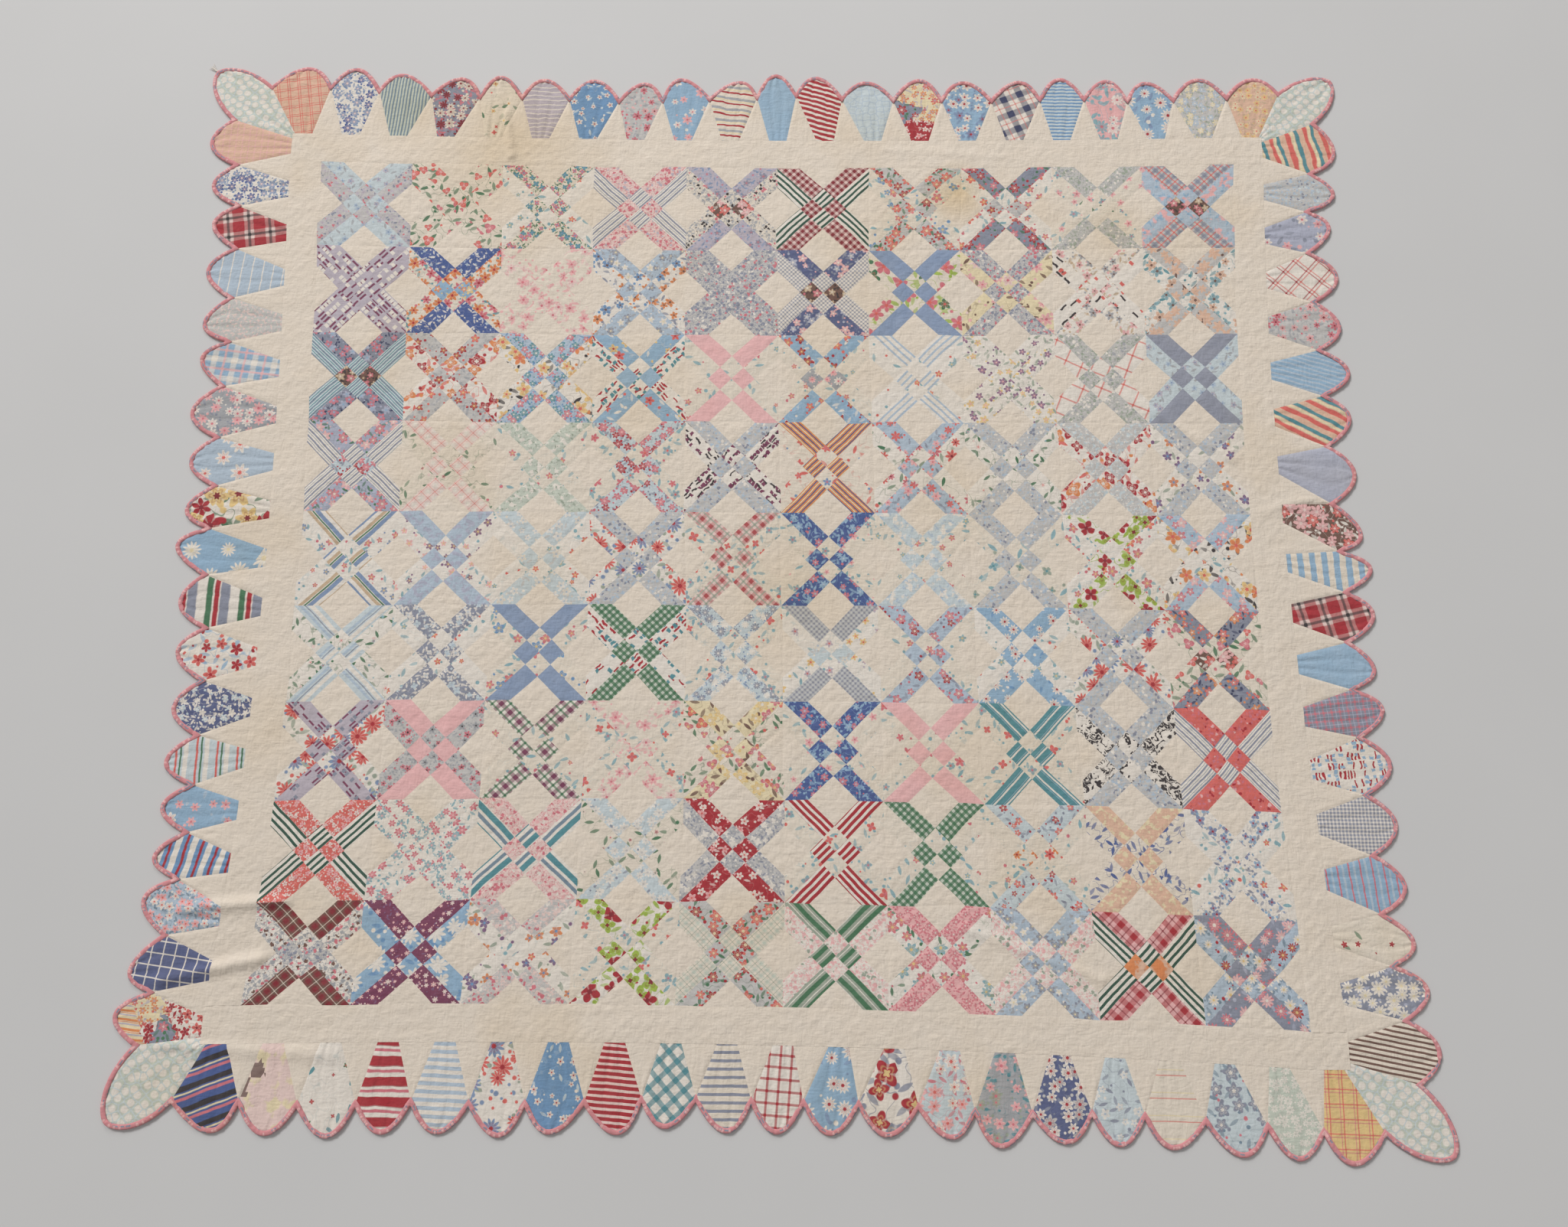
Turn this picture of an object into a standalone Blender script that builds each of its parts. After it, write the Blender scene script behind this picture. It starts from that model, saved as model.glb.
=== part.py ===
"""Scalloped patchwork bed quilt lying open and flat, as closed faceted solids.

Metres, +Z up. The origin is under the middle of the patchwork, on the surface that the quilt lies
on. +X runs along the two long ends, +Y from the near end to the far end.

Plan shape, from the middle outwards: the pieced field of square blocks, a plain muslin border, a
ring of petals with one larger petal at each corner, and a narrow bias binding round every petal.
Everything is first drawn square in "plan" coordinates, and cloth_place() then pulls it out of
square, as the worn cloth really lies.
"""

import math
from typing import NamedTuple

import bmesh
import bpy
from mathutils import Vector

# ---- driving dimensions (metres) ----------------------------------------------------------------
BLOCK = 0.168                       # side of one pieced block
COLUMNS = 10
ROWS = 9
BORDER = 0.057                      # width of the plain border strips
THICKNESS = 0.004                   # quilted cloth: top, thin batting and back
BINDING_WIDTH = 0.010
SEAM_GAP = 0.0003                   # clearance between neighbouring pieces
PETAL_STEPS = 6                     # outline segments round one petal's free end
THREAD_GAP = 0.0004

FIELD_X = BLOCK * COLUMNS / 2
FIELD_Y = BLOCK * ROWS / 2
BASE_X = FIELD_X + BORDER           # line that the petals of the short sides start from
BASE_Y = FIELD_Y + BORDER


class Side(NamedTuple):
    """One edge of the quilt and the row of petals on it."""

    count: int                      # petals, without the corner ones
    base: float                     # distance of the petals' base line from the middle
    reach: float                    # distance of an average tip from the middle
    notch: float                    # how far the notches between tips cut back
    base_span: float                # first to last petal, measured between base centres
    tip_span: float                 # first to last petal, measured between tips
    across: tuple                   # outward direction in plan
    along: tuple                    # direction in which the petals are counted


class PetalShape(NamedTuple):
    """How one petal differs from the average, in millimetres."""

    lean: float                     # tip shifted along the side
    reach: float                    # tip further out (+) or short of it (-)


class CornerPetal(NamedTuple):
    """A corner petal's tip and its two notches, in plan, for the corner at +X +Y (metres)."""

    sign: tuple
    tip: tuple
    end_notch: tuple                # notch towards the long end
    side_notch: tuple               # notch towards the short side


class Ridge(NamedTuple):
    """A low crease that lifts the cloth off the surface (metres)."""

    start: tuple
    end: tuple
    height: float
    width: float


SIDES = {
    "top": Side(21, BASE_Y, 0.945, 0.037, 1.752, 1.760, (0, 1), (1, 0)),
    "right": Side(19, BASE_X, 1.040, 0.042, 1.540, 1.560, (1, 0), (0, -1)),
    "bottom": Side(21, BASE_Y, 0.945, 0.042, 1.752, 1.760, (0, -1), (-1, 0)),
    "left": Side(19, BASE_X, 1.040, 0.042, 1.540, 1.560, (-1, 0), (0, 1)),
}

# (lean, reach) of each petal in turn, in the order that its side is counted: clockwise from above.
UNEVEN_PETALS = {
    "top": ((0, 10), (5, 10), (5, 0), (25, -5), (10, 0), (5, -5), (10, -5), (15, -10), (-5, 0),
            (15, -5), (-5, 10), (-15, 5), (-10, -5), (0, 0), (-5, -5), (10, -5), (0, 0), (0, -5),
            (-15, -10), (-5, -5), (10, -5)),
    "right": ((0, -5), (0, -10), (-20, -20), (-10, -10), (0, -10), (0, 0), (0, -5), (15, -5),
              (35, -5), (10, 5), (5, 0), (10, -10), (-10, -5), (-5, -5), (5, -10), (15, -10),
              (15, -10), (0, 0), (5, 5)),
    "bottom": ((-10, 10), (-10, 5), (-10, 5), (10, 0), (5, 0), (0, 0), (15, 10), (5, 0), (15, 0),
               (15, 0), (10, 0), (0, 0), (5, -5), (-10, 5), (5, 5), (-5, 10), (0, 5), (-5, 5),
               (-10, 10), (-5, 5), (-10, 0)),
    "left": ((10, 0), (-5, -10), (20, -10), (5, -15), (0, -15), (-10, -10), (-5, -10), (5, -5),
             (5, 0), (20, 15), (0, 5), (0, 5), (5, 10), (20, 0), (0, 0), (15, 0), (20, -5),
             (10, 0), (10, 10)),
}

CORNERS = (
    CornerPetal((-1, 1), (1.052, 0.945), (0.945, 0.915), (1.015, 0.842)),
    CornerPetal((1, 1), (1.040, 0.935), (0.938, 0.910), (1.003, 0.842)),
    CornerPetal((1, -1), (1.050, 0.942), (0.943, 0.912), (1.010, 0.836)),
    CornerPetal((-1, -1), (1.036, 0.930), (0.933, 0.902), (1.004, 0.816)),
)
EDGE_ROUNDNESS = (2.0, 1.0)         # powers of the arch across and along an edge petal
CORNER_ROUNDNESS = (1.15, 2.1)      # the same for a corner petal, which is nearly square-ended

RIDGES = (
    Ridge((-0.930, -0.588), (-0.866, -0.582), 0.006, 0.026),
    Ridge((-0.960, -0.690), (-0.870, -0.672), 0.006, 0.026),
    Ridge((-0.512, 0.830), (-0.505, 0.788), 0.005, 0.026),
    Ridge((0.900, 0.100), (0.870, 0.090), 0.004, 0.026),
)

# The bow of the field's four edges: how far the cloth is pulled from the square plan (metres).
LEFT_OUT, LEFT_BOW, LEFT_SKEW = 0.016, 0.028, -0.35
RIGHT_OUT, RIGHT_BOW, RIGHT_SKEW = 0.010, 0.026, 0.20
TOP_OUT, TOP_BOW = 0.006, 0.011
BOTTOM_RISE, BOTTOM_SLOPE, BOTTOM_BOW = -0.004, 0.019, 0.017
NEAR_DRIFT = 0.012                  # the near rows' middle lies a little to the right
LEFT_SAG = 0.014                    # the left side's middle lies a little low


def lerp(a, b, t):
    """Value that is the fraction t of the way from a to b."""
    return a + (b - a) * t


def cloth_place(x, y):
    """World position of a plan point: the square plan pulled to the cloth's real outline."""
    a = max(-1.0, min(1.0, x / FIELD_X))
    b = max(-1.0, min(1.0, y / FIELD_Y))
    bulge_a, bulge_b = 1 - a * a, 1 - b * b
    right_part, top_part = (1 + a) / 2, (1 + b) / 2
    left = -LEFT_OUT + LEFT_BOW * bulge_b * (1 + LEFT_SKEW * b)
    right = RIGHT_OUT - RIGHT_BOW * bulge_b * (1 + RIGHT_SKEW * b)
    top = TOP_OUT - TOP_BOW * bulge_a
    bottom = BOTTOM_RISE - BOTTOM_SLOPE * a + BOTTOM_BOW * bulge_a
    shift_x = lerp(left, right, right_part) + NEAR_DRIFT * bulge_a * (1 - top_part)
    shift_y = lerp(bottom, top, top_part) - LEFT_SAG * bulge_b * (1 - right_part)
    return Vector((x + shift_x, y + shift_y))


def cloth_lift(point):
    """Height of the cloth's underside at a world point: nought, or a crease's rounded back."""
    lift = 0.0
    for ridge in RIDGES:
        start, end = Vector(ridge.start), Vector(ridge.end)
        run = end - start
        t = max(0.0, min(1.0, (point - start).dot(run) / run.length_squared))
        distance = (point - (start + run * t)).length
        lift = max(lift, ridge.height * (1 - (distance / ridge.width) ** 2))
    return max(0.0, lift)


# ---- outline ------------------------------------------------------------------------------------
def side_point(side, along, out):
    """Plan point at a distance along a side and a distance out from the middle."""
    return Vector((side.along[0] * along + side.across[0] * out,
                   side.along[1] * along + side.across[1] * out))


def corner_point(corner, place):
    """Plan point of a corner petal, mirrored from the +X +Y corner."""
    return Vector((corner.sign[0] * place[0], corner.sign[1] * place[1]))


def petal_tips(name):
    """Plan points of the tips of one side's petals."""
    side = SIDES[name]
    tips = []
    for i in range(side.count):
        shape = PetalShape(*UNEVEN_PETALS[name][i])
        along = lerp(-side.tip_span / 2, side.tip_span / 2, i / (side.count - 1))
        tips.append(side_point(side, along + shape.lean / 1000, side.reach + shape.reach / 1000))
    return tips


def side_notches(name, first, last):
    """Plan points of the notches on one side, from the corner notch before it to the one after."""
    side = SIDES[name]
    inward = Vector(side.across) * -side.notch
    tips = petal_tips(name)
    between = [(a + b) / 2 + inward for a, b in zip(tips, tips[1:])]
    return [first] + between + [last]


def arch(start, tip, end, roundness):
    """Plan points along one petal's free end, from notch to notch through the tip.

    It is a superellipse arch, sheared so that its crown meets the tip; the last point is left out.
    """
    middle, half = (start + end) / 2, (end - start) / 2
    points = []
    for i in range(PETAL_STEPS):
        angle = math.pi * (i / PETAL_STEPS - 0.5)
        across = math.copysign(abs(math.sin(angle)) ** (2 / roundness[0]), angle)
        outward = math.cos(angle) ** (2 / roundness[1]) if i else 0.0
        points.append(middle + half * across + (tip - middle) * outward)
    return points


def outline_runs():
    """World points of the scalloped outline, clockwise, one list for each side or corner."""
    order = (("top", CORNERS[0], CORNERS[1]), ("right", CORNERS[1], CORNERS[2]),
             ("bottom", CORNERS[2], CORNERS[3]), ("left", CORNERS[3], CORNERS[0]))
    runs = {}
    for name, before, after in order:
        on_end = name in ("top", "bottom")
        first = corner_point(before, before.end_notch if on_end else before.side_notch)
        last = corner_point(after, after.end_notch if on_end else after.side_notch)
        notches = side_notches(name, first, last)
        points = []
        for tip, start, end in zip(petal_tips(name), notches, notches[1:]):
            points += arch(start, tip, end, EDGE_ROUNDNESS)
        runs[name] = points
        leaving = corner_point(after, after.side_notch if on_end else after.end_notch)
        runs[name + "_corner"] = arch(last, corner_point(after, after.tip), leaving,
                                      CORNER_ROUNDNESS)
    return {key: [cloth_place(*p) for p in points] for key, points in runs.items()}


def inset_loop(points, distance):
    """The closed clockwise loop moved inwards by a distance, with its corners mitred."""
    moved = []
    for i, point in enumerate(points):
        before = (point - points[i - 1]).normalized()
        after = (points[(i + 1) % len(points)] - point).normalized()
        normal = Vector((before.y + after.y, -before.x - after.x)).normalized()
        cosine = max(0.55, normal.dot(Vector((before.y, -before.x))))
        moved.append(point + normal * distance / cosine)
    return moved


# ---- solids -------------------------------------------------------------------------------------
def cloth_material(name, colour):
    """Matt cotton finish in one colour."""
    material = bpy.data.materials.new(name)
    material.use_nodes = True
    shader = material.node_tree.nodes["Principled BSDF"]
    shader.inputs["Base Color"].default_value = (*colour, 1.0)
    shader.inputs["Roughness"].default_value = 0.9
    shader.inputs["Metallic"].default_value = 0.0
    return material


def lace(near, far):
    """Triangles between two open lines of points, near and far, as index pairs into each.

    Both lines run the same way; the next triangle always starts on the line that is behind.
    """
    triangles = []
    i, j = 0, 0
    while i < len(near) - 1 or j < len(far) - 1:
        near_ahead = (i + 1) / (len(near) - 1) if i < len(near) - 1 else math.inf
        far_ahead = (j + 1) / (len(far) - 1) if j < len(far) - 1 else math.inf
        if near_ahead <= far_ahead:
            triangles.append((("n", i), ("n", i + 1), ("f", j)))
            i += 1
        else:
            triangles.append((("n", i), ("f", j + 1), ("f", j)))
            j += 1
    return triangles


def laced_sheet(rows):
    """Bmesh of a flat sheet between successive lines of world points."""
    mesh = bmesh.new()
    lines = [[mesh.verts.new((p.x, p.y, 0.0)) for p in row] for row in rows]
    for near, far in zip(lines, lines[1:]):
        for triangle in lace(near, far):
            mesh.faces.new([(near if line == "n" else far)[k] for line, k in triangle])
    return mesh


def pull_in(mesh, distance):
    """Move a flat sheet's boundary inwards, so that neighbours clear each other."""
    moves = {}
    for vert in mesh.verts:
        edges = [edge for edge in vert.link_edges if edge.is_boundary]
        normals = []
        for edge in edges:
            face = edge.link_faces[0]
            run = (edge.verts[1].co - edge.verts[0].co).normalized()
            normal = Vector((-run.y, run.x, 0.0))
            if normal.dot(face.calc_center_median() - edge.verts[0].co) < 0:
                normal.negate()
            normals.append(normal)
        if normals:
            middle = (normals[0] + normals[1]).normalized()
            moves[vert] = middle * distance / max(0.55, middle.dot(normals[0]))
    for vert, move in moves.items():
        vert.co += move


def thicken(mesh, thickness):
    """Turn a flat sheet into a closed solid that follows the creases' lift."""
    bmesh.ops.recalc_face_normals(mesh, faces=mesh.faces)
    if mesh.faces[0].normal.z > 0:
        bmesh.ops.reverse_faces(mesh, faces=mesh.faces)
    top = bmesh.ops.extrude_face_region(mesh, geom=list(mesh.faces))["geom"]
    raised = {item for item in top if isinstance(item, bmesh.types.BMVert)}
    for vert in mesh.verts:
        vert.co.z = cloth_lift(vert.co.xy) + (thickness if vert in raised else 0.0)
    bmesh.ops.recalc_face_normals(mesh, faces=mesh.faces)


def add_piece(name, mesh, material, parent):
    """Object made from a bmesh, with its own material, under the quilt's empty."""
    data = bpy.data.meshes.new(name)
    mesh.to_mesh(data)
    mesh.free()
    data.materials.append(material)
    piece = bpy.data.objects.new(name, data)
    bpy.context.collection.objects.link(piece)
    piece.parent = parent
    return piece


def add_sheet(name, rows, material, parent):
    """One flat piece of cloth, cleared from its neighbours and given its thickness."""
    mesh = laced_sheet(rows)
    pull_in(mesh, SEAM_GAP / 2)
    thicken(mesh, THICKNESS)
    return add_piece(name, mesh, material, parent)


def line_of(count, start, end):
    """Plan points at even steps from start to end."""
    start, end = Vector(start), Vector(end)
    return [start.lerp(end, i / count) for i in range(count + 1)]


def placed(points):
    """World points of plan points."""
    return [cloth_place(*p) for p in points]


def base_line(name):
    """Plan points of the petals' base line on one side, two steps to a petal.

    The short sides have a point at each end of the field too, where their border strips stop.
    """
    side = SIDES[name]
    half_step = side.base_span / (side.count - 1) / 2
    end = BASE_X if name in ("top", "bottom") else BASE_Y
    stations = [-side.base_span / 2 + half_step * i for i in range(2 * side.count - 1)]
    if name in ("left", "right"):
        stations = [s for s in stations if abs(abs(s) - FIELD_Y) > half_step / 2]
        stations += [-FIELD_Y, FIELD_Y]
    return [side_point(side, along, side.base) for along in sorted([-end] + stations + [end])]


def seam_line(name):
    """Plan points of the seam between the field and one border strip, a step for each block."""
    steps = COLUMNS if name in ("top", "bottom") else ROWS
    field_end = FIELD_X if name in ("top", "bottom") else FIELD_Y
    out = FIELD_Y if name in ("top", "bottom") else FIELD_X
    side = SIDES[name]
    return line_of(steps, side_point(side, -field_end, out), side_point(side, field_end, out))


def build_field(material, parent):
    """The pieced field, one facet for each block."""
    rows = []
    for row in range(ROWS + 1):
        y = FIELD_Y - BLOCK * row
        rows.append(placed(line_of(COLUMNS, (-FIELD_X, y), (FIELD_X, y))))
    add_sheet("patchwork_centre", rows, material, parent)


def build_borders(material, parent):
    """Four plain strips: the long ends run right across, the sides fit between them."""
    for name in SIDES:
        seam, base = seam_line(name), base_line(name)
        if name in ("top", "bottom"):
            ends = [side_point(SIDES[name], way * BASE_X, FIELD_Y) for way in (-1, 1)]
            seam = [ends[0]] + seam + [ends[1]]
        else:
            base = [p for p in base if abs(p.y) < FIELD_Y + SEAM_GAP]
        middle = [a.lerp(b, 0.5) for a, b in zip(resample(seam, len(base)), base)]
        add_sheet("border_" + name, [placed(seam), placed(middle), placed(base)], material, parent)


def resample(points, count):
    """The same open line of plan points with another number of points, evenly by index."""
    line = []
    for i in range(count):
        place = i * (len(points) - 1) / (count - 1)
        k = min(int(place), len(points) - 2)
        line.append(points[k].lerp(points[k + 1], place - k))
    return line


def build_petals(inner_runs, materials, parent):
    """The four petal strips and the four corner petals, inside the binding."""
    order = ("top", "right", "bottom", "left")
    corner_names = {"top": "top_right", "right": "bottom_right", "bottom": "bottom_left",
                    "left": "top_left"}
    for k, name in enumerate(order):
        following = order[(k + 1) % len(order)]
        rim = inner_runs[name] + [inner_runs[name + "_corner"][0]]
        add_sheet("petal_edge_" + name, [placed(base_line(name)), rim], materials["edge"], parent)
        side = SIDES[name]
        end = BASE_X if name in ("top", "bottom") else BASE_Y
        inner = cloth_place(*side_point(side, end, side.base))
        rim = inner_runs[name + "_corner"] + [inner_runs[following][0]]
        mesh = bmesh.new()
        root = mesh.verts.new((inner.x, inner.y, 0.0))
        verts = [mesh.verts.new((p.x, p.y, 0.0)) for p in rim]
        for a, b in zip(verts, verts[1:]):
            mesh.faces.new((root, a, b))
        pull_in(mesh, SEAM_GAP / 2)
        thicken(mesh, THICKNESS)
        add_piece("corner_petal_" + corner_names[name], mesh, materials["corner"], parent)


def build_binding(outline, inner, material, parent):
    """The bias binding: one closed scalloped strip round the whole edge."""
    mesh = bmesh.new()
    rim = [mesh.verts.new((p.x, p.y, 0.0)) for p in outline]
    edge = [mesh.verts.new((p.x, p.y, 0.0)) for p in inner]
    for i in range(len(rim)):
        k = (i + 1) % len(rim)
        mesh.faces.new((rim[i], rim[k], edge[k], edge[i]))
    pull_in(mesh, SEAM_GAP / 2)
    thicken(mesh, THICKNESS)
    add_piece("binding", mesh, material, parent)


def build_thread(outline_tip, material, parent):
    """The frayed end of thread at the far left tip: a flat tuft that spreads as it leaves."""
    away = Vector((-1.0, 0.8)).normalized()
    across = Vector((-away.y, away.x))
    sections = ((0.0, 0.002), (0.008, 0.002), (0.016, 0.0035), (0.022, 0.004))
    start = outline_tip + away * THREAD_GAP
    rows = [[start + away * out + across * half, start + away * out - across * half]
            for out, half in sections]
    mesh = laced_sheet(rows)
    thicken(mesh, THICKNESS / 2)
    add_piece("corner_thread", mesh, material, parent)


def main():
    """Build every piece of the quilt."""
    for thing in list(bpy.data.objects):
        bpy.data.objects.remove(thing, do_unlink=True)
    quilt = bpy.data.objects.new("quilt", None)
    bpy.context.collection.objects.link(quilt)

    muslin = cloth_material("muslin", (0.78, 0.70, 0.58))
    prints = cloth_material("prints", (0.55, 0.56, 0.60))
    celadon = cloth_material("celadon", (0.62, 0.66, 0.64))
    pink = cloth_material("pink_calico", (0.68, 0.36, 0.36))
    thread = cloth_material("thread", (0.75, 0.74, 0.68))

    runs = outline_runs()
    outline = [p for run in runs.values() for p in run]
    inner = inset_loop(outline, BINDING_WIDTH)
    inner_runs, used = {}, 0
    for key, run in runs.items():
        inner_runs[key] = inner[used:used + len(run)]
        used += len(run)

    build_field(prints, quilt)
    build_borders(muslin, quilt)
    build_petals(inner_runs, {"edge": muslin, "corner": celadon}, quilt)
    build_binding(outline, inner, pink, quilt)
    build_thread(runs["left_corner"][PETAL_STEPS // 2], thread, quilt)


main()
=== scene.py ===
"""Scalloped patchwork quilt lying open and flat: cloth, prints, binding, light and camera.

Every place on the quilt is first given in plan metres, square and even, with the origin in the
middle of the patchwork; Lay.place() and Lay.height() then lay it down as the worn cloth lies.
"""
import logging
import math
from collections.abc import Callable
from dataclasses import dataclass, field, replace
from enum import Enum

import bpy
import numpy as np
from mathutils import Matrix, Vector


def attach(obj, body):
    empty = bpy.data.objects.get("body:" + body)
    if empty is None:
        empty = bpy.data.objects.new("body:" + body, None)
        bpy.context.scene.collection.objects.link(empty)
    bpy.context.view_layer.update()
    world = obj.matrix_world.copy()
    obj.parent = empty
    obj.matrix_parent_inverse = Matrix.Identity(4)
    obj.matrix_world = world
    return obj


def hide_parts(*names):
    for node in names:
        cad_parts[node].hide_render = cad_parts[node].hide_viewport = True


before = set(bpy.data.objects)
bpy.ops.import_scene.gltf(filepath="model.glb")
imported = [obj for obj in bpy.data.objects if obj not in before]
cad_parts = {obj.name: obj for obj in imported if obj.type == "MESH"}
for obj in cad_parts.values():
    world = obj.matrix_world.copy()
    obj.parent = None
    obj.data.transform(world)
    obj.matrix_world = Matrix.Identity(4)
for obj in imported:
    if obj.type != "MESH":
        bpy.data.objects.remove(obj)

log = logging.getLogger("quilt")
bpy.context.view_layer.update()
Array = np.ndarray
Socket = bpy.types.NodeSocket
Tree = bpy.types.NodeTree
Piece = bpy.types.Object
Pair = tuple[float, float]
Triple = tuple[float, float, float]
Colour = tuple[float, float, float, float]
MM_PER_M = 1000
FULL_TURN = 2 * math.pi
Value = Socket | float | tuple[float, ...]   # what a node's input takes


# ---- dyes and prints ----------------------------------------------------------------------------
DAYLIGHT = 0.90   # brightness of the daylight that the dyes are named in


class Dye(Enum):
    """Cloth colours as they look in soft daylight, red, green and blue from 0 to 255."""

    MUSLIN = (214, 200, 183)
    CREAM = (213, 201, 185)
    WHITE = (217, 208, 197)
    ICE = (186, 195, 197)
    PALEBLUE = (167, 180, 192)
    SKY = (138, 166, 188)
    BLUE = (104, 140, 176)
    DENIM = (120, 138, 166)
    ROYAL = (66, 86, 138)
    NAVY = (50, 56, 88)
    INDIGO = (82, 90, 126)
    STEEL = (112, 130, 144)
    SLATE = (130, 133, 147)
    GREY = (156, 156, 158)
    PALEGREY = (184, 180, 176)
    LAVENDER = (163, 165, 180)
    LILAC = (176, 166, 174)
    PURPLE = (124, 92, 122)
    PALEPINK = (216, 190, 182)
    PINK = (218, 166, 164)
    ROSE = (196, 108, 118)
    CORAL = (204, 96, 88)
    RED = (160, 32, 44)
    CRIMSON = (126, 30, 42)
    BURGUNDY = (116, 54, 82)
    ORANGE = (208, 128, 78)
    PEACH = (208, 170, 146)
    YELLOW = (214, 184, 126)
    PALEYELLOW = (216, 200, 164)
    LIME = (148, 170, 66)
    GREEN = (62, 108, 76)
    DARKGREEN = (38, 76, 62)
    SAGE = (148, 156, 140)
    MINT = (184, 189, 175)
    TEAL = (78, 132, 140)
    AQUA = (128, 162, 168)
    BROWN = (106, 76, 66)
    TAN = (186, 162, 134)
    BLACK = (46, 40, 44)
    BINDING = (200, 130, 134)

    @property
    def linear(self) -> Colour:
        """The cloth's own reflectance, with the light it is seen in taken out."""
        return (*[((c / 255 + 0.055) / 1.055) ** 2.4 / DAYLIGHT for c in self.value], 1.0)


class Family(Enum):
    """Kinds of printed cotton, each drawn by its own node group."""

    SOLID = "Plain dyed cotton"
    STRIPE = "Striped cotton"
    CHECK = "Checked cotton"
    FLORAL = "Flower print"
    CALICO = "Tiny calico print"
    PEBBLE = "Pebble print"
    MOTTLED = "Mottled print"
    BARS = "Dash and bar print"


@dataclass(frozen=True)
class Print:
    """One printed cotton: its family, its dyes in the order of the group's colour inputs, its values."""

    family: Family
    dyes: str
    values: dict[str, float] = field(default_factory=dict)
    angle: float = 0.0


def solid(dyes: str) -> Print:
    """Plain dyed cotton."""
    return Print(Family.SOLID, dyes)


def stripe(dyes: str, period: float, first: float, second: float = 0.0, line: float = 0.0,
           angle: float = 0.0, wobble: float = 0.4) -> Print:
    """Stripes along the cloth: ground, first, second, line dyes; period in mm, widths as parts of it."""
    return Print(Family.STRIPE, dyes, {"Period": period / MM_PER_M, "First Width": first,
                                       "Second Width": second, "Line Width": line, "Wobble": wobble}, angle)


def check(dyes: str, period: float, bar: float, line: float = 0.0, overlap: float = 0.5,
          angle: float = 0.0, line_place: float = 0.8) -> Print:
    """Gingham, plaid or windowpane: ground, bar, line dyes; overlap 0.5 woven, 1 printed solid."""
    return Print(Family.CHECK, dyes, {"Period": period / MM_PER_M, "Bar Width": bar, "Line Width": line,
                                      "Overlap": overlap, "Line Place": line_place}, angle)


def floral(dyes: str, repeat: float, size: float, presence: float = 0.8, petals: int = 5,
           leaves: float = 0.5, buds: float = 0.35) -> Print:
    """Flowers: ground, one, two, eye, leaf dyes; repeat in mm; size as a part of the repeat."""
    return Print(Family.FLORAL, dyes, {"Motifs": MM_PER_M / repeat, "Size": size, "Presence": presence,
                                       "Petals": petals, "Leaves": leaves, "Buds": buds})


def calico(dyes: str, repeat: float = 5, cover: float = 0.6) -> Print:
    """Tiny all-over print: ground, one, two, three dyes; repeat in mm."""
    return Print(Family.CALICO, dyes, {"Motifs": MM_PER_M / repeat, "Cover": cover})


def pebble(dyes: str, repeat: float, ring: float) -> Print:
    """Pebbles or rings: gap, ring, middle dyes; repeat in mm."""
    return Print(Family.PEBBLE, dyes, {"Motifs": MM_PER_M / repeat, "Hollow": ring})


def mottled(dyes: str, repeat: float = 12) -> Print:
    """Cloudy print in three dyes."""
    return Print(Family.MOTTLED, dyes, {"Motifs": MM_PER_M / repeat})


def bars(dyes: str, repeat: float, cover: float, wobble: float = 0.0, angle: float = 0.0) -> Print:
    """Short dashes and bars: ground, one, two dyes; repeat in mm."""
    return Print(Family.BARS, dyes, {"Motifs": MM_PER_M / repeat, "Cover": cover, "Wobble": wobble}, angle)


def prints_of(make: Callable[..., Print], table: str) -> dict[str, Print]:
    """Prints of one family.

    Args:
        make: the function that makes one.
        table: for each print, a line with its name, its dyes and the function's numbers in order.

    Returns:
        The prints by name.
    """
    prints = {}
    for line in table.split("\n")[1:]:
        name, dyes, *numbers = line.split(": ")
        prints[name] = make(dyes, *(float(number) for number in " ".join(numbers).split()))
    return prints


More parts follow.
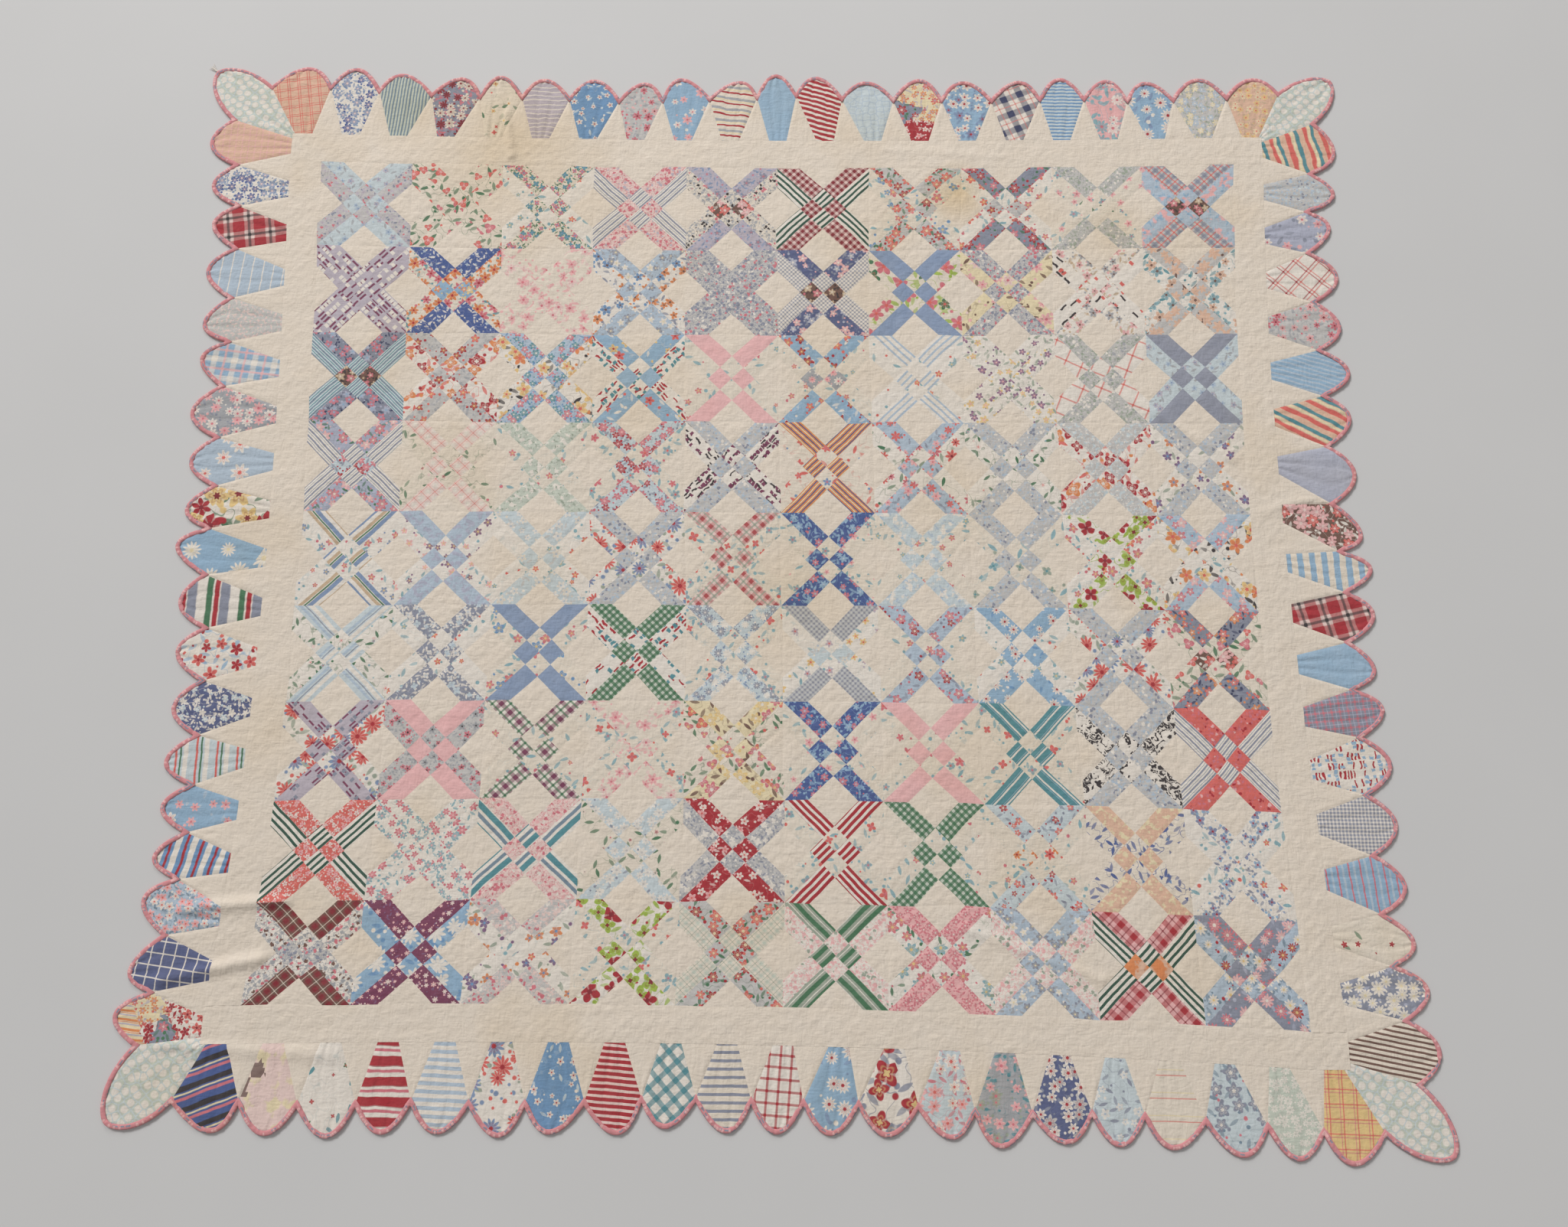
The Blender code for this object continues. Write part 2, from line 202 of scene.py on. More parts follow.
PRINTS = (
    prints_of(solid, """
muslin: muslin
denim: denim
pinksolid: pink
periwinkle: lavender
chambray: sky
slatesolid: slate
threadwhite: white
brownsolid: brown""")
    | prints_of(floral, """
tulip: cream coral rose pink green: 30 0.32 0.75 3 0.8 0.1
leafy: cream teal rose blue green: 13 0.44 0.9 4 1 0.3
smallwhite: white coral aqua yellow aqua: 27 0.22 0.35 5 0.2 0.1
yellowblotch: cream rose blue yellow aqua: 26 0.34 0.55 5 0.35 0.15
whitered: white rose coral yellow aqua: 24 0.34 0.6 5 0.35 0.2
pinkbud: cream pink aqua rose aqua: 25 0.28 0.5 5 0.25 0.1
orangeroses: cream orange rose red teal: 22 0.48 1 6 0.6 0.5
orangeblue: white orange blue brown slate: 22 0.4 0.8 5 0.5 0.4
bigredrose: cream rose green coral lime: 34 0.44 0.85 5 0.9 0.15
yellowpink: paleyellow pink palepink rose brown: 28 0.38 0.75 6 0.4 0.3
goldrose: paleyellow rose yellow white brown: 28 0.42 0.85 6 0.5 0.2
greypink: white pink grey brown tan: 21 0.4 0.9 5 0.7 0.5
tealpeach: white peach aqua brown teal: 26 0.4 0.8 5 0.6 0.2
yellowbrown: white yellow orange coral black: 30 0.4 0.8 5 0.6 0.3
tinybud: cream rose aqua yellow aqua: 27 0.22 0.35 5 0.2 0.1
pansy: white purple yellow pink sage: 22 0.32 0.75 5 0.5 0.2
redfan: white red orange white coral: 30 0.44 0.9 4 0.8 0.4
leafsprig: cream palepink rose green green: 26 0.14 0.3 5 0.5 0.05
redscatter: cream rose aqua coral aqua: 26 0.32 0.55 5 0.3 0.15
redleaf: cream coral blue rose coral: 28 0.26 0.5 5 0.35 0.1
greenrose: white rose coral crimson green: 30 0.34 0.6 7 0.5 0.05
greensprig: white palepink aqua coral green: 24 0.18 0.35 5 0.55 0.1
orangebluepurple: white orange purple blue sage: 26 0.36 0.65 5 0.35 0.15
redblueflo: white rose denim yellow aqua: 22 0.28 0.6 5 0.3 0.15
pinkpurpleyellow: white pink purple yellow aqua: 21 0.32 0.65 5 0.3 0.15
coraldaisy: white coral denim red sage: 32 0.46 0.75 11 0.3 0.6
redteal: cream coral aqua rose aqua: 25 0.32 0.5 4 0.35 0.15
tealblob: cream aqua sage teal aqua: 34 0.26 0.4 4 0.25 0.05
limered: white red lime crimson lime: 30 0.46 1 4 1 0.3
daisyring: ice slate white white denim: 16 0.46 1 9 0.3 0.3
yellowpurple: white yellow lilac coral aqua: 23 0.3 0.6 5 0.3 0.15
tulipstem: cream coral rose yellow green: 27 0.32 0.75 3 0.6 0.1
pinkteal: white rose aqua pink aqua: 18 0.38 0.85 6 0.45 0.2
orangerose: cream orange coral red aqua: 20 0.38 0.8 6 0.3 0.15
swallow: cream royal blue royal royal: 25 0.15 0.5 3 1 0
whiteindigo: white denim sky red slate: 19 0.4 0.9 4 0.6 0.4
limebig: white lime red crimson lime: 30 0.48 0.95 4 0.9 0.2
pinkgreenblue: white rose aqua yellow green: 24 0.4 0.8 6 0.35 0.15
yellowsprig: cream yellow coral red green: 26 0.17 0.5 4 0.35 0.05
creambud: cream red coral red green: 28 0.18 0.35 5 0.15 0.05
bigtulip: white red slate yellow slate: 44 0.44 0.95 4 0.9 0.3
blueflo: white denim royal palepink denim: 19 0.46 0.95 6 0.8 0.6
redyellowbig: white red yellow crimson green: 46 0.5 1 6 0.9 0.2
redstar: white red coral red sky: 30 0.36 0.75 5 0.8 0.2
redflopatch: white red coral crimson red: 18 0.42 0.95 5 0.6 0.5
orangeflopatch: paleyellow orange coral lilac lilac: 17 0.38 0.9 6 0.6 0.5
icesprig: ice paleblue lilac denim grey: 20 0.3 0.6 5 0.4 0.1
lavfloral: lilac slate lavender rose denim: 17 0.38 0.8 5 0.7 0.5
greyroses: palegrey coral red paleyellow green: 23 0.42 0.85 6 0.7 0.3
slateroses: slate rose red palepink green: 22 0.44 0.85 6 0.5 0.3
royalfleck: royal white paleblue ice white: 15 0.2 0.7 4 0.5 0.2
bluebright: sky orange yellow white denim: 18 0.4 0.8 5 0.4 0.3
paleblueflo: paleblue slate white paleyellow grey: 18 0.38 0.8 5 0.7 0.3
indigoflo: indigo pink lavender white slate: 18 0.42 0.85 5 0.5 0.5
slateflo: slate rose lavender sky navy: 17 0.42 0.9 5 0.7 0.6
greyredflo: palegrey red coral yellow grey: 21 0.34 0.6 5 0.7 0.4
tealmosaic: paleblue teal rose white blue: 15 0.46 0.95 5 0.8 0.5
skyyellow: sky yellow coral red white: 24 0.34 0.6 5 0.3 0.1
skyred: sky red coral yellow white: 23 0.36 0.7 5 0.4 0.2
blackflo: brown tan rose cream black: 17 0.44 0.9 5 0.8 0.5
bluepinkgreen: lavender rose pink cream green: 20 0.44 0.9 6 0.6 0.3
denserose: ice rose red pink slate: 18 0.46 0.95 6 0.7 0.5
bluerose: paleblue coral pink rose slate: 20 0.4 0.85 6 0.5 0.3
ghost: ice white cream paleblue palegrey: 20 0.36 0.7 5 0.5 0.2
royalrose: royal rose sky paleblue sky: 19 0.36 0.75 6 1 0.4
skyrose: paleblue pink rose white sky: 21 0.4 0.8 5 0.4 0.2
greyleaf: slate white ice paleblue white: 16 0.38 0.8 4 0.9 0.4
periwinkrose: paleblue rose red cream slate: 23 0.36 0.65 5 0.4 0.2
skydaisy: sky white white red blue: 22 0.38 0.8 9 0.3 0.2
slateorange: slate coral orange white navy: 20 0.38 0.8 5 0.5 0.5
darkcalicored: palegrey rose grey black grey: 15 0.4 0.85 5 0.8 0.6
coralcalico: coral pink white rose palepink: 12 0.34 0.9 5 0.5 0.6
redwhiteflo: red white pink coral palepink: 18 0.38 0.8 5 0.3 0.25
grayleafy: palegrey white grey white slate: 14 0.42 0.85 4 0.9 0.4
blueredbud: ice coral red cream slate: 20 0.3 0.6 5 0.5 0.3
burgundyflo: burgundy pink palepink white purple: 13 0.3 0.7 6 0.3 0.3
skywhite: sky white white white blue: 31 0.46 0.8 9 0.2 0.4
roseprig: pink rose rose white rose: 14 0.38 0.85 5 0.7 0.4
mandala: slate rose pink white lavender: 24 0.44 0.8 10 0.4 0.3
bluestripedaisy: paleblue white red yellow steel: 23 0.4 0.8 9 0.7 0.3
cornflower: blue white white red ice: 21 0.26 0.8 5 0.2 0.1
greybluerose: palegrey rose pink crimson grey: 21 0.38 0.8 6 0.7 0.5
skypink: sky pink white rose paleblue: 27 0.32 0.8 6 0.2 0.1
navywhiteflo: sky white denim red denim: 21 0.46 0.9 6 0.45 0.3
pinkwreath: pink white aqua rose aqua: 34 0.38 0.9 9 0.7 0.4
skyreddaisy: sky white white red denim: 32 0.42 0.8 11 0.3 0.1
heartdaisy: slate cream crimson crimson rose: 22 0.42 1 8 0.7 0.7
slatedaisy: slate white white paleyellow lavender: 21 0.5 1 9 0.4 0.6
brownrose: brown coral pink palepink white: 24 0.48 1 6 0.6 0.6
stripeblossom: lavender white pink rose slate: 34 0.34 0.6 6 0.3 0.1
icefigure: white red green coral teal: 27 0.15 0.6 4 0.2 0.05
slatepinkteal: grey pink sage rose teal: 23 0.42 0.9 6 0.6 0.4
indigored: indigo white palegrey red slate: 23 0.48 1 7 0.5 0.3
outlineleaf: ice white white paleblue slate: 24 0.3 0.7 5 0.7 0.1
blueslateflo: ice slate rose white steel: 28 0.4 0.75 5 0.5 0.3
greypinkflo: grey white pink rose slate: 20 0.46 0.9 8 0.5 0.4
twodaisy: sky white white paleyellow blue: 48 0.36 0.6 12 0 0
navyleaf: indigo white ice white white: 17 0.34 0.85 5 1 0.5
denseflo: paleblue pink white coral steel: 15 0.44 0.95 5 0.8 0.6
lightdaisy: paleblue white white coral sky: 42 0.36 0.9 8 0 0
pinkoutline: ice white pink coral rose: 25 0.42 0.85 6 0.7 0.2
lace: ice white white palegrey slate: 18 0.44 0.95 7 0.2 0.2
greygreenblue: palegrey paleblue paleyellow white sage: 15 0.42 0.95 6 0.6 0.4
yelloworange: peach yellow paleyellow coral tan: 15 0.4 0.85 6 0.5 0.3
pinktoile: cream pink palepink rose pink: 24 0.4 0.7 6 0.5 0.4
ribbon: palegrey peach peach peach brown: 22 0.48 1 6 0.18 0.1
whitecircle: mint white white mint white: 14 0.46 0.9 8 0.1 0.2""")
    | prints_of(calico, """
pinkgreycal: palegrey lilac slate rose: 6 0.8
pinkcal: palepink rose lilac rose: 6 0.7
greypinkblack: cream grey black rose: 6 0.8
greygreencal: palegrey sage white grey: 6 0.7
bluepinkcal: palegrey slate rose white: 6 0.8
greycal: palegrey paleblue slate white: 6
dustypink: palepink rose pink white: 6
coralmini: coral rose red pink: 6 0.5
dustypale: white pink palepink sage: 7 0.8
squigglecal: white grey rose brown: 7 0.9
bluedot: palegrey paleblue slate ice: 5.5
trellisdot: palegrey palepink rose white: 7 0.8""")
    | prints_of(mottled, """
orangemix: orange peach peach: 26
palelavender: paleblue lavender lavender
peachmot: peach paleyellow peach: 9
sagemot: mint white sage: 10
greyteal: palegrey ice white: 7
frost: ice white paleblue: 14
tealmot: palegrey palepink mint: 6
blushyellow: palepink paleyellow palepink: 36
skypinkplaid: paleblue pink sky: 18""")
    | prints_of(stripe, """
bluestripe: white slate steel ice: 9 0.34 0.12
palestripe: white paleblue palegrey white: 10 0.4
skybluestripe: ice steel teal white: 9 0.34 0.2
greenstripe: white darkgreen sage white: 9.5 0.48
redstripe: white red red white: 9.5 0.6
thinorange: orange indigo paleyellow coral: 9 0.28 0.26
multistripe: white denim tan green: 24 0.34 0.26 0.14
icedark: ice white paleblue slate: 26 0.3 0.2 0.1
tealstripe: teal white white paleblue: 15 0.22 0 0.08
tealwide: white teal steel white: 26 0.4 0.26
sagewide: sage green white darkgreen: 17 0.46 0.12
pinstripe: mint steel slate white: 6 0.5 0 0 86
greystripe: lilac white white slate: 19 0.13 0.13 0.05 0 1.8
zigzag: cream red grey paleyellow: 23 0.18 0.26 0.16 0 1.6
candy: white red red white: 10 0.6 0 0 -25 0.8
candyflat: palepink red red white: 9.5 0.62 0 0 -8
finesky: ice blue sky white: 7 0.5
skyfine: sky paleblue white blue: 8 0.42 0 0 75 1
wavy: peach coral teal paleyellow: 33 0.27 0.25 0.2 14 2
diagmulti: peach coral teal paleyellow: 32 0.27 0.25 0.18 62 1.2
widesky: cream sky sky white: 21 0.52 0 0 5
magentastripe: sky rose paleblue white: 19 0.16 0.22 0 10
browndiag: cream brown tan white: 8 0.46 0 0 78
navydiag: royal black rose paleyellow: 30 0.3 0.18 0.12 20 0.8
paleband: white paleblue paleblue white: 12 0.52
greyband: cream slate ice slate: 12.5 0.4
redband: white red rose crimson: 30 0.5 0.18 0.06 0 1
rareline: cream paleyellow coral coral: 34 0.08 0 0.07 0 0.2
fourstripe: white slate green red: 56 0.32 0.22 0.18 2
softstripe: paleblue white white ice: 19 0.14
greyredstripe: ice white coral green: 34 0.26 0.14 0.12 -2
heartband: blue white red white: 25 0.42 0.2 0 -10 0.9
yellowstripe: paleyellow orange lilac coral: 14 0.3 0.2 0.1 90""")
    | prints_of(check, """
maroongingham: palepink crimson crimson: 11 0.58 0 0.6
greengingham: mint green darkgreen: 9.5 0.54 0 0.8
redlineplaid: palegrey slate coral: 17 0.4 0.18 0.7
bluepinkcheck: white slate rose: 5.5 0.45
pinkplaid: palepink white coral: 17 0.44 0.1
redpinkplaid: palepink red sage: 20 0.42 0.2 0.45
pincheck: palegrey slate ice: 6.5 0.45 0.12
colourplaid: white burgundy green: 22 0.38 0.2 0.65
brownplaid: brown crimson cream: 17 0.5 0.12
crimsonplaid: pink red crimson: 26 0.42 0.12 0.6
limeplaid: cream mint sage: 14 0.4 0.12
peachpane: peach coral coral: 19 0.12 0.12 0.9 8 0.52
finepink: peach pink coral: 12 0.2 0 0.6
navyplaid: white navy coral: 33 0.44 0.1 0.6 28
redplaid: palepink red black: 38 0.58 0.18 0.7 15
redpane: white red coral: 30 0.12 0.12 0.8 45 0.5
slateplaid: slate rose lavender: 14 0.3 0.16
redlines: white red crimson: 18 0.26 0 0.75
lattice: white teal slate: 20 0.44 0 0.75 45
yellowpane: yellow coral rose: 22 0.13 0.11 0.9 -10 0.52
navypane: indigo white white: 19 0.15 0 1 -8
skyplaid: sky white pink: 36 0.34 0.16 0.65
smallcheck: slate white white: 6 0.5
redlattice: white red coral: 30 0 0.14 0.7 22""")
    | prints_of(bars, """
maroonbars: lilac burgundy white: 19 0.5
blackdash: white black coral: 19 0.14 0.3
blackmaroon: white black burgundy: 16 0.5 0.6
geomaroon: lilac burgundy slate: 16 0.4
squiggle: white black black: 17 0.42 2.2
reddash: white red teal: 17 0.36 0.5
redtextband: white red sky: 15 0.5 0.5
bindingpink: binding slate pink: 11 0.34 0.3""")
    | prints_of(pebble, """
crackle: paleblue ice ice: 13 0.75
pebbles: ice mint white: 15 0.9""")
)

# Prints of the blocks, far row first and from left to right. Each entry is the print beside the far
# and near triangles, the print beside the left and right ones and, after a stop, that of the centre.
BLOCKS = (
    "icesprig/pinkgreycal tulip/tulip leafy/smallwhite pinkcal/bluestripe "
    "lavfloral/greypinkblack/brownrose maroongingham/greenstripe greyroses/yellowblotch "
    "slateroses/whitered/greyredflo greygreencal/pinkbud/yellowsprig redlineplaid/skypinkplaid/blackflo",
    "maroonbars/maroonbars royalfleck/orangeroses/bluebright pinktoile/pinktoile paleblueflo/orangeblue "
    "bluepinkcal/bluepinkcal indigoflo/bluepinkcheck/blackflo denim/bigredrose bluepinkcal/yellowpink "
    "greypink/blackdash ribbon/tealpeach",
    "slateflo/skybluestripe/blackflo greyredflo/redfan tealmosaic/yellowbrown/tealmosaic "
    "skyyellow/reddash/chambray pinksolid/tinybud skyred/tinybud/greypinkflo palestripe/smallwhite "
    "pansy/pansy greygreencal/redlattice slatesolid/icesprig",
    "bluepinkgreen/bluestripe/denserose pinkplaid/leafsprig sagemot/tinybud denserose/redscatter "
    "greycal/blackmaroon thinorange/redleaf bluerose/greenrose greycal/greensprig greyteal/redfan "
    "greycal/orangebluepurple",
    "multistripe/redblueflo palelavender/pinkpurpleyellow ghost/smallwhite greycal/coraldaisy "
    "redpinkplaid/redteal royalrose/pinkbud frost/tinybud greycal/tealblob limered/whitered "
    "skyrose/yellowbrown/smallwhite",
    "icedark/greensprig greyleaf/smallwhite denim/yellowblotch greengingham/reddash daisyring/redteal "
    "pincheck/yellowpurple/ghost periwinkrose/tinybud skydaisy/smallwhite greycal/coraldaisy "
    "slateorange/tulip/brownrose",
    "geomaroon/coraldaisy pinksolid/darkcalicored colourplaid/tinybud pinktoile/redteal "
    "goldrose/tulipstem royalrose/pinkbud pinksolid/redscatter tealstripe/redteal greycal/squiggle "
    "coralmini/bluestripe",
    "coralcalico/greenstripe pinkteal/pinkteal dustypink/tealwide lace/leafsprig redwhiteflo/grayleafy "
    "redstripe/redteal greengingham/tinybud blueredbud/tinybud/orangerose peachmot/swallow "
    "whiteindigo/smallwhite",
    "brownplaid/squigglecal/bluepinkcal burgundyflo/skywhite trellisdot/orangebluepurple/smallwhite "
    "limebig/redteal greyroses/limeplaid sagewide/dustypale roseprig/pinkgreenblue "
    "paleblueflo/dustypale crimsonplaid/greenstripe/orangemix mandala/bluestripedaisy",
)

# Prints of the petals, counted clockwise from above, corner petals apart.
PETALS = {
    "top": "peachpane blueflo pinstripe heartdaisy yellowsprig greystripe cornflower greybluerose "
           "skypink zigzag chambray candy crackle redwhiteflo navywhiteflo navyplaid finesky pinkwreath "
           "skyreddaisy greygreenblue yelloworange",
    "right": "wavy bluedot stripeblossom redpane greybluerose skyfine diagmulti periwinkle brownrose "
             "widesky redplaid chambray slateplaid redtextband smallcheck magentastripe creambud "
             "slatedaisy browndiag",
    "bottom": "yellowpane whitecircle blueslateflo rareline outlineleaf indigored slatepinkteal pinkoutline "
              "bigtulip skyreddaisy redlines greyband lattice candyflat cornflower coraldaisy paleband "
              "redband icefigure blushyellow navydiag",
    "left": "redflopatch navypane denseflo heartband skypink greyredstripe navyleaf redstar fourstripe "
            "twodaisy redyellowbig lightdaisy greypinkflo skyplaid tealmot softstripe redplaid blueflo "
            "finepink",
}
CORNER_PRINT = "pebbles"

# Petals pieced from scraps: a print and its outline, across the petal from -1 to 1 and out from 0 to 1.
SCRAPS = {
    "top_14": (("orangeflopatch", ((-1.2, 0.45), (1.2, 0.25), (1.2, 1.2), (-1.2, 1.2))),
               ("slateroses", ((0.3, 0.52), (-1.2, 0.15), (-1.2, 0.70)))),
    "left_1": (("yellowstripe", ((-1.2, 0.55), (1.2, 0.95), (1.2, 1.2), (-1.2, 1.2))),
               ("orangeflopatch", ((1.2, 0.95), (-0.2, 0.72), (0.1, 0.40), (1.2, 0.52))),
               ("slateroses", ((-1.2, 0.10), (0.4, 0.45), (-1.2, 0.62)))),
    "bottom_20": (("brownsolid", ((0.15, 0.36), (0.32, 0.18), (0.90, 0.30), (0.62, 0.38))),
                  ("brownsolid", ((0.55, 0.38), (1.10, 0.40), (1.10, 0.62), (0.72, 0.60), (0.80, 0.50)))),
}


# ---- how the cloth lies -------------------------------------------------------------------------
def lerp(a: float, b: float, t: float) -> float:
    """Value that is the fraction t of the way from a to b."""
    return a + (b - a) * t


NOISE_SIDE = 256                # random values along each side of a noise's table, which then repeats
NOISE_START = (900.3, 900.7)    # lattice steps that keep every place on the quilt above zero


@dataclass(frozen=True)
class Noise:
    """Smooth random height, from -1 to 1, on a lattice of the given step in metres."""

    step: Pair
    seed: int
    turn: float = 0.0

    def at(self, x: Array, y: Array) -> Array:
        """Noise at points.

        Args:
            x, y: plan places of the points.

        Returns:
            One value for each point.
        """
        table = np.random.default_rng(self.seed).uniform(-1, 1, (NOISE_SIDE, NOISE_SIDE))
        cosine, sine = math.cos(self.turn), math.sin(self.turn)
        u = (x * cosine + y * sine) / self.step[0] + NOISE_START[0]
        v = (y * cosine - x * sine) / self.step[1] + NOISE_START[1]
        i, j = np.floor(u).astype(int), np.floor(v).astype(int)
        a, b = u - i, v - j
        a, b = a * a * (3 - 2 * a), b * b * (3 - 2 * b)
        i0, j0, i1, j1 = i % NOISE_SIDE, j % NOISE_SIDE, (i + 1) % NOISE_SIDE, (j + 1) % NOISE_SIDE
        near = table[i0, j0] * (1 - a) + table[i1, j0] * a
        far = table[i0, j1] * (1 - a) + table[i1, j1] * a
        return near * (1 - b) + far * b


@dataclass(frozen=True)
class Ridge:
    """A low crease in the cloth: its ends in world metres, its height and half width."""

    start: Pair
    end: Pair
    height: float
    width: float

    def lift(self, x: Array, y: Array) -> Array:
        """Height that the crease adds, softly rounded at its foot.

        Args:
            x, y: world places of the points.

        Returns:
            One height for each point.
        """
        run_x, run_y = self.end[0] - self.start[0], self.end[1] - self.start[1]
        t = ((x - self.start[0]) * run_x + (y - self.start[1]) * run_y) / (run_x ** 2 + run_y ** 2)
        t = np.clip(t, 0, 1)
        gap = np.hypot(x - self.start[0] - run_x * t, y - self.start[1] - run_y * t)
        return self.height * np.exp(-(gap / self.width) ** 2 * 2)


@dataclass(frozen=True)
class Lay:
    """How the square plan lies on the floor: the bow of its edges, its creases and its puckers."""

    block: float = 0.168
    columns: int = 10
    rows: int = 9
    border: float = 0.057
    thickness: float = 0.004
    left: Triple = (0.016, 0.028, -0.35)     # out, bow, skew
    right: Triple = (0.010, 0.026, 0.20)
    top: Pair = (0.006, 0.011)                    # out, bow
    bottom: Triple = (-0.004, 0.019, 0.017)  # rise, slope, bow
    near_drift: float = 0.012
    left_sag: float = 0.014
    ridges: tuple[Ridge, ...] = (
        Ridge((-0.960, -0.590), (-0.800, -0.578), 0.0060, 0.014),
        Ridge((-0.985, -0.700), (-0.830, -0.668), 0.0060, 0.014),
        Ridge((-0.515, 0.860), (-0.500, 0.775), 0.0040, 0.012),
        Ridge((0.930, 0.108), (0.850, 0.085), 0.0018, 0.012),
        Ridge((-0.975, -0.800), (-0.700, -0.815), 0.0030, 0.012),
        Ridge((0.20, 0.790), (0.42, 0.775), 0.0009, 0.010),
        Ridge((-0.62, -0.20), (-0.50, -0.42), 0.0022, 0.012),
        Ridge((0.30, -0.62), (0.52, -0.70), 0.0022, 0.012),
        Ridge((0.62, 0.30), (0.80, 0.18), 0.0020, 0.012),
    )
    waves: tuple[tuple[float, Noise], ...] = (
        (0.0009, Noise((0.110, 0.090), 3)), (0.00028, Noise((0.034, 0.026), 5, 0.5)),
        (0.00042, Noise((0.024, 0.0062), 7, 0.08)), (0.00042, Noise((0.0062, 0.022), 11, -0.06)),
        (0.00030, Noise((0.0060, 0.0060), 13)),
    )
    wander: tuple[Noise, Noise] = (Noise((0.075, 0.075), 17), Noise((0.075, 0.075), 19))
    wander_reach: float = 0.0022
    calm_edge: float = 0.03       # seams wander less within this distance of the petals' base line
    dip_depth: float = 0.0012
    dip_calm: float = 0.6         # part of the puckers that a full dip takes away

    @property
    def field_x(self) -> float:
        """Half the width of the patchwork field."""
        return self.block * self.columns / 2

    @property
    def field_y(self) -> float:
        """Half the depth of the patchwork field."""
        return self.block * self.rows / 2

    @property
    def base_x(self) -> float:
        """Distance from the middle to the petals' base line on the short sides."""
        return self.field_x + self.border

    @property
    def base_y(self) -> float:
        """Distance from the middle to the petals' base line on the long ends."""
        return self.field_y + self.border

    def place(self, x: Array, y: Array) -> tuple[Array, Array]:
        """World position of plan points, pulled out of square as the worn cloth is.

        Args:
            x, y: plan places of the points.

        Returns:
            World x and world y.
        """
        a, b = np.clip(x / self.field_x, -1, 1), np.clip(y / self.field_y, -1, 1)
        bulge_a, bulge_b = 1 - a * a, 1 - b * b
        across, up = (1 + a) / 2, (1 + b) / 2
        left = -self.left[0] + self.left[1] * bulge_b * (1 + self.left[2] * b)
        right = self.right[0] - self.right[1] * bulge_b * (1 + self.right[2] * b)
        top = self.top[0] - self.top[1] * bulge_a
        bottom = self.bottom[0] - self.bottom[1] * a + self.bottom[2] * bulge_a
        shift_x = lerp(left, right, across) + self.near_drift * bulge_a * (1 - up)
        shift_y = lerp(bottom, top, up) - self.left_sag * bulge_b * (1 - across)
        return x + shift_x, y + shift_y

    def waver(self, x: Array, y: Array) -> tuple[Array, Array]:
        """Plan points moved a little, as hand-sewn seams wander; nothing moves at the petals' base line.

        Args:
            x, y: plan places of the points.

        Returns:
            The moved x and y.
        """
        edge = np.minimum(self.base_x - np.abs(x), self.base_y - np.abs(y))
        amount = self.wander_reach * np.clip(edge / self.calm_edge, 0, 1)
        return x + amount * self.wander[0].at(x, y), y + amount * self.wander[1].at(x, y)

    def lift(self, x: Array, y: Array) -> Array:
        """Height that the creases add.

        Args:
            x, y: world places of the points.

        Returns:
            One height for each point.
        """
        lift = np.zeros_like(x)
        for ridge in self.ridges:
            lift = np.maximum(lift, ridge.lift(x, y))
        return lift

    def height(self, x: Array, y: Array, dip: Array) -> Array:
        """Height of the cloth's upper face.

        Args:
            x, y: world places of the points.
            dip: how far seams and quilting draw the cloth down there, from 0 to 1.

        Returns:
            Height above the floor, in metres.
        """
        puff = sum(size * noise.at(x, y) for size, noise in self.waves)
        return self.thickness + self.lift(x, y) + puff * (1 - self.dip_calm * dip) - self.dip_depth * dip


def groove(distance: Array, width: float) -> Array:
    """Soft valley along a line: 1 on it, falling to 0 at a few times the width away."""
    return np.exp(-(distance / width) ** 2)


# ---- outline of the scalloped edge --------------------------------------------------------------
@dataclass(frozen=True)
class Side:
    """One edge of the quilt and its row of petals, counted clockwise from above."""

    count: int
    base: float
    reach: float
    notch: float
    base_span: float
    tip_span: float
    across: tuple[int, int]
    along: tuple[int, int]
    uneven: tuple[Pair, ...]   # (lean, reach) of each petal in millimetres

    def point(self, along: float, out: float) -> Vector:
        """Plan point at a distance along the side and a distance out from the middle."""
        return Vector((self.along[0] * along + self.across[0] * out,
                       self.along[1] * along + self.across[1] * out))

    def tips(self) -> list[Vector]:
        """Plan points of the petals' tips."""
        half, last = self.tip_span / 2, self.count - 1
        return [self.point(lerp(-half, half, i / last) + lean / MM_PER_M, self.reach + reach / MM_PER_M)
                for i, (lean, reach) in enumerate(self.uneven)]

    def notches(self, first: Vector, last: Vector) -> list[Vector]:
        """Plan points of the notches, from the corner notch before the side to the one after."""
        tips, inward = self.tips(), Vector(self.across) * -self.notch
        return [first] + [(a + b) / 2 + inward for a, b in zip(tips, tips[1:])] + [last]


@dataclass(frozen=True)
class Corner:
    """A corner petal's tip and notches in plan, as for the corner at +X +Y."""

    sign: tuple[int, int]
    tip: Pair
    end_notch: Pair
    side_notch: Pair

    def at(self, place: Pair) -> Vector:
        """Plan point mirrored to this corner."""
        return Vector((self.sign[0] * place[0], self.sign[1] * place[1]))


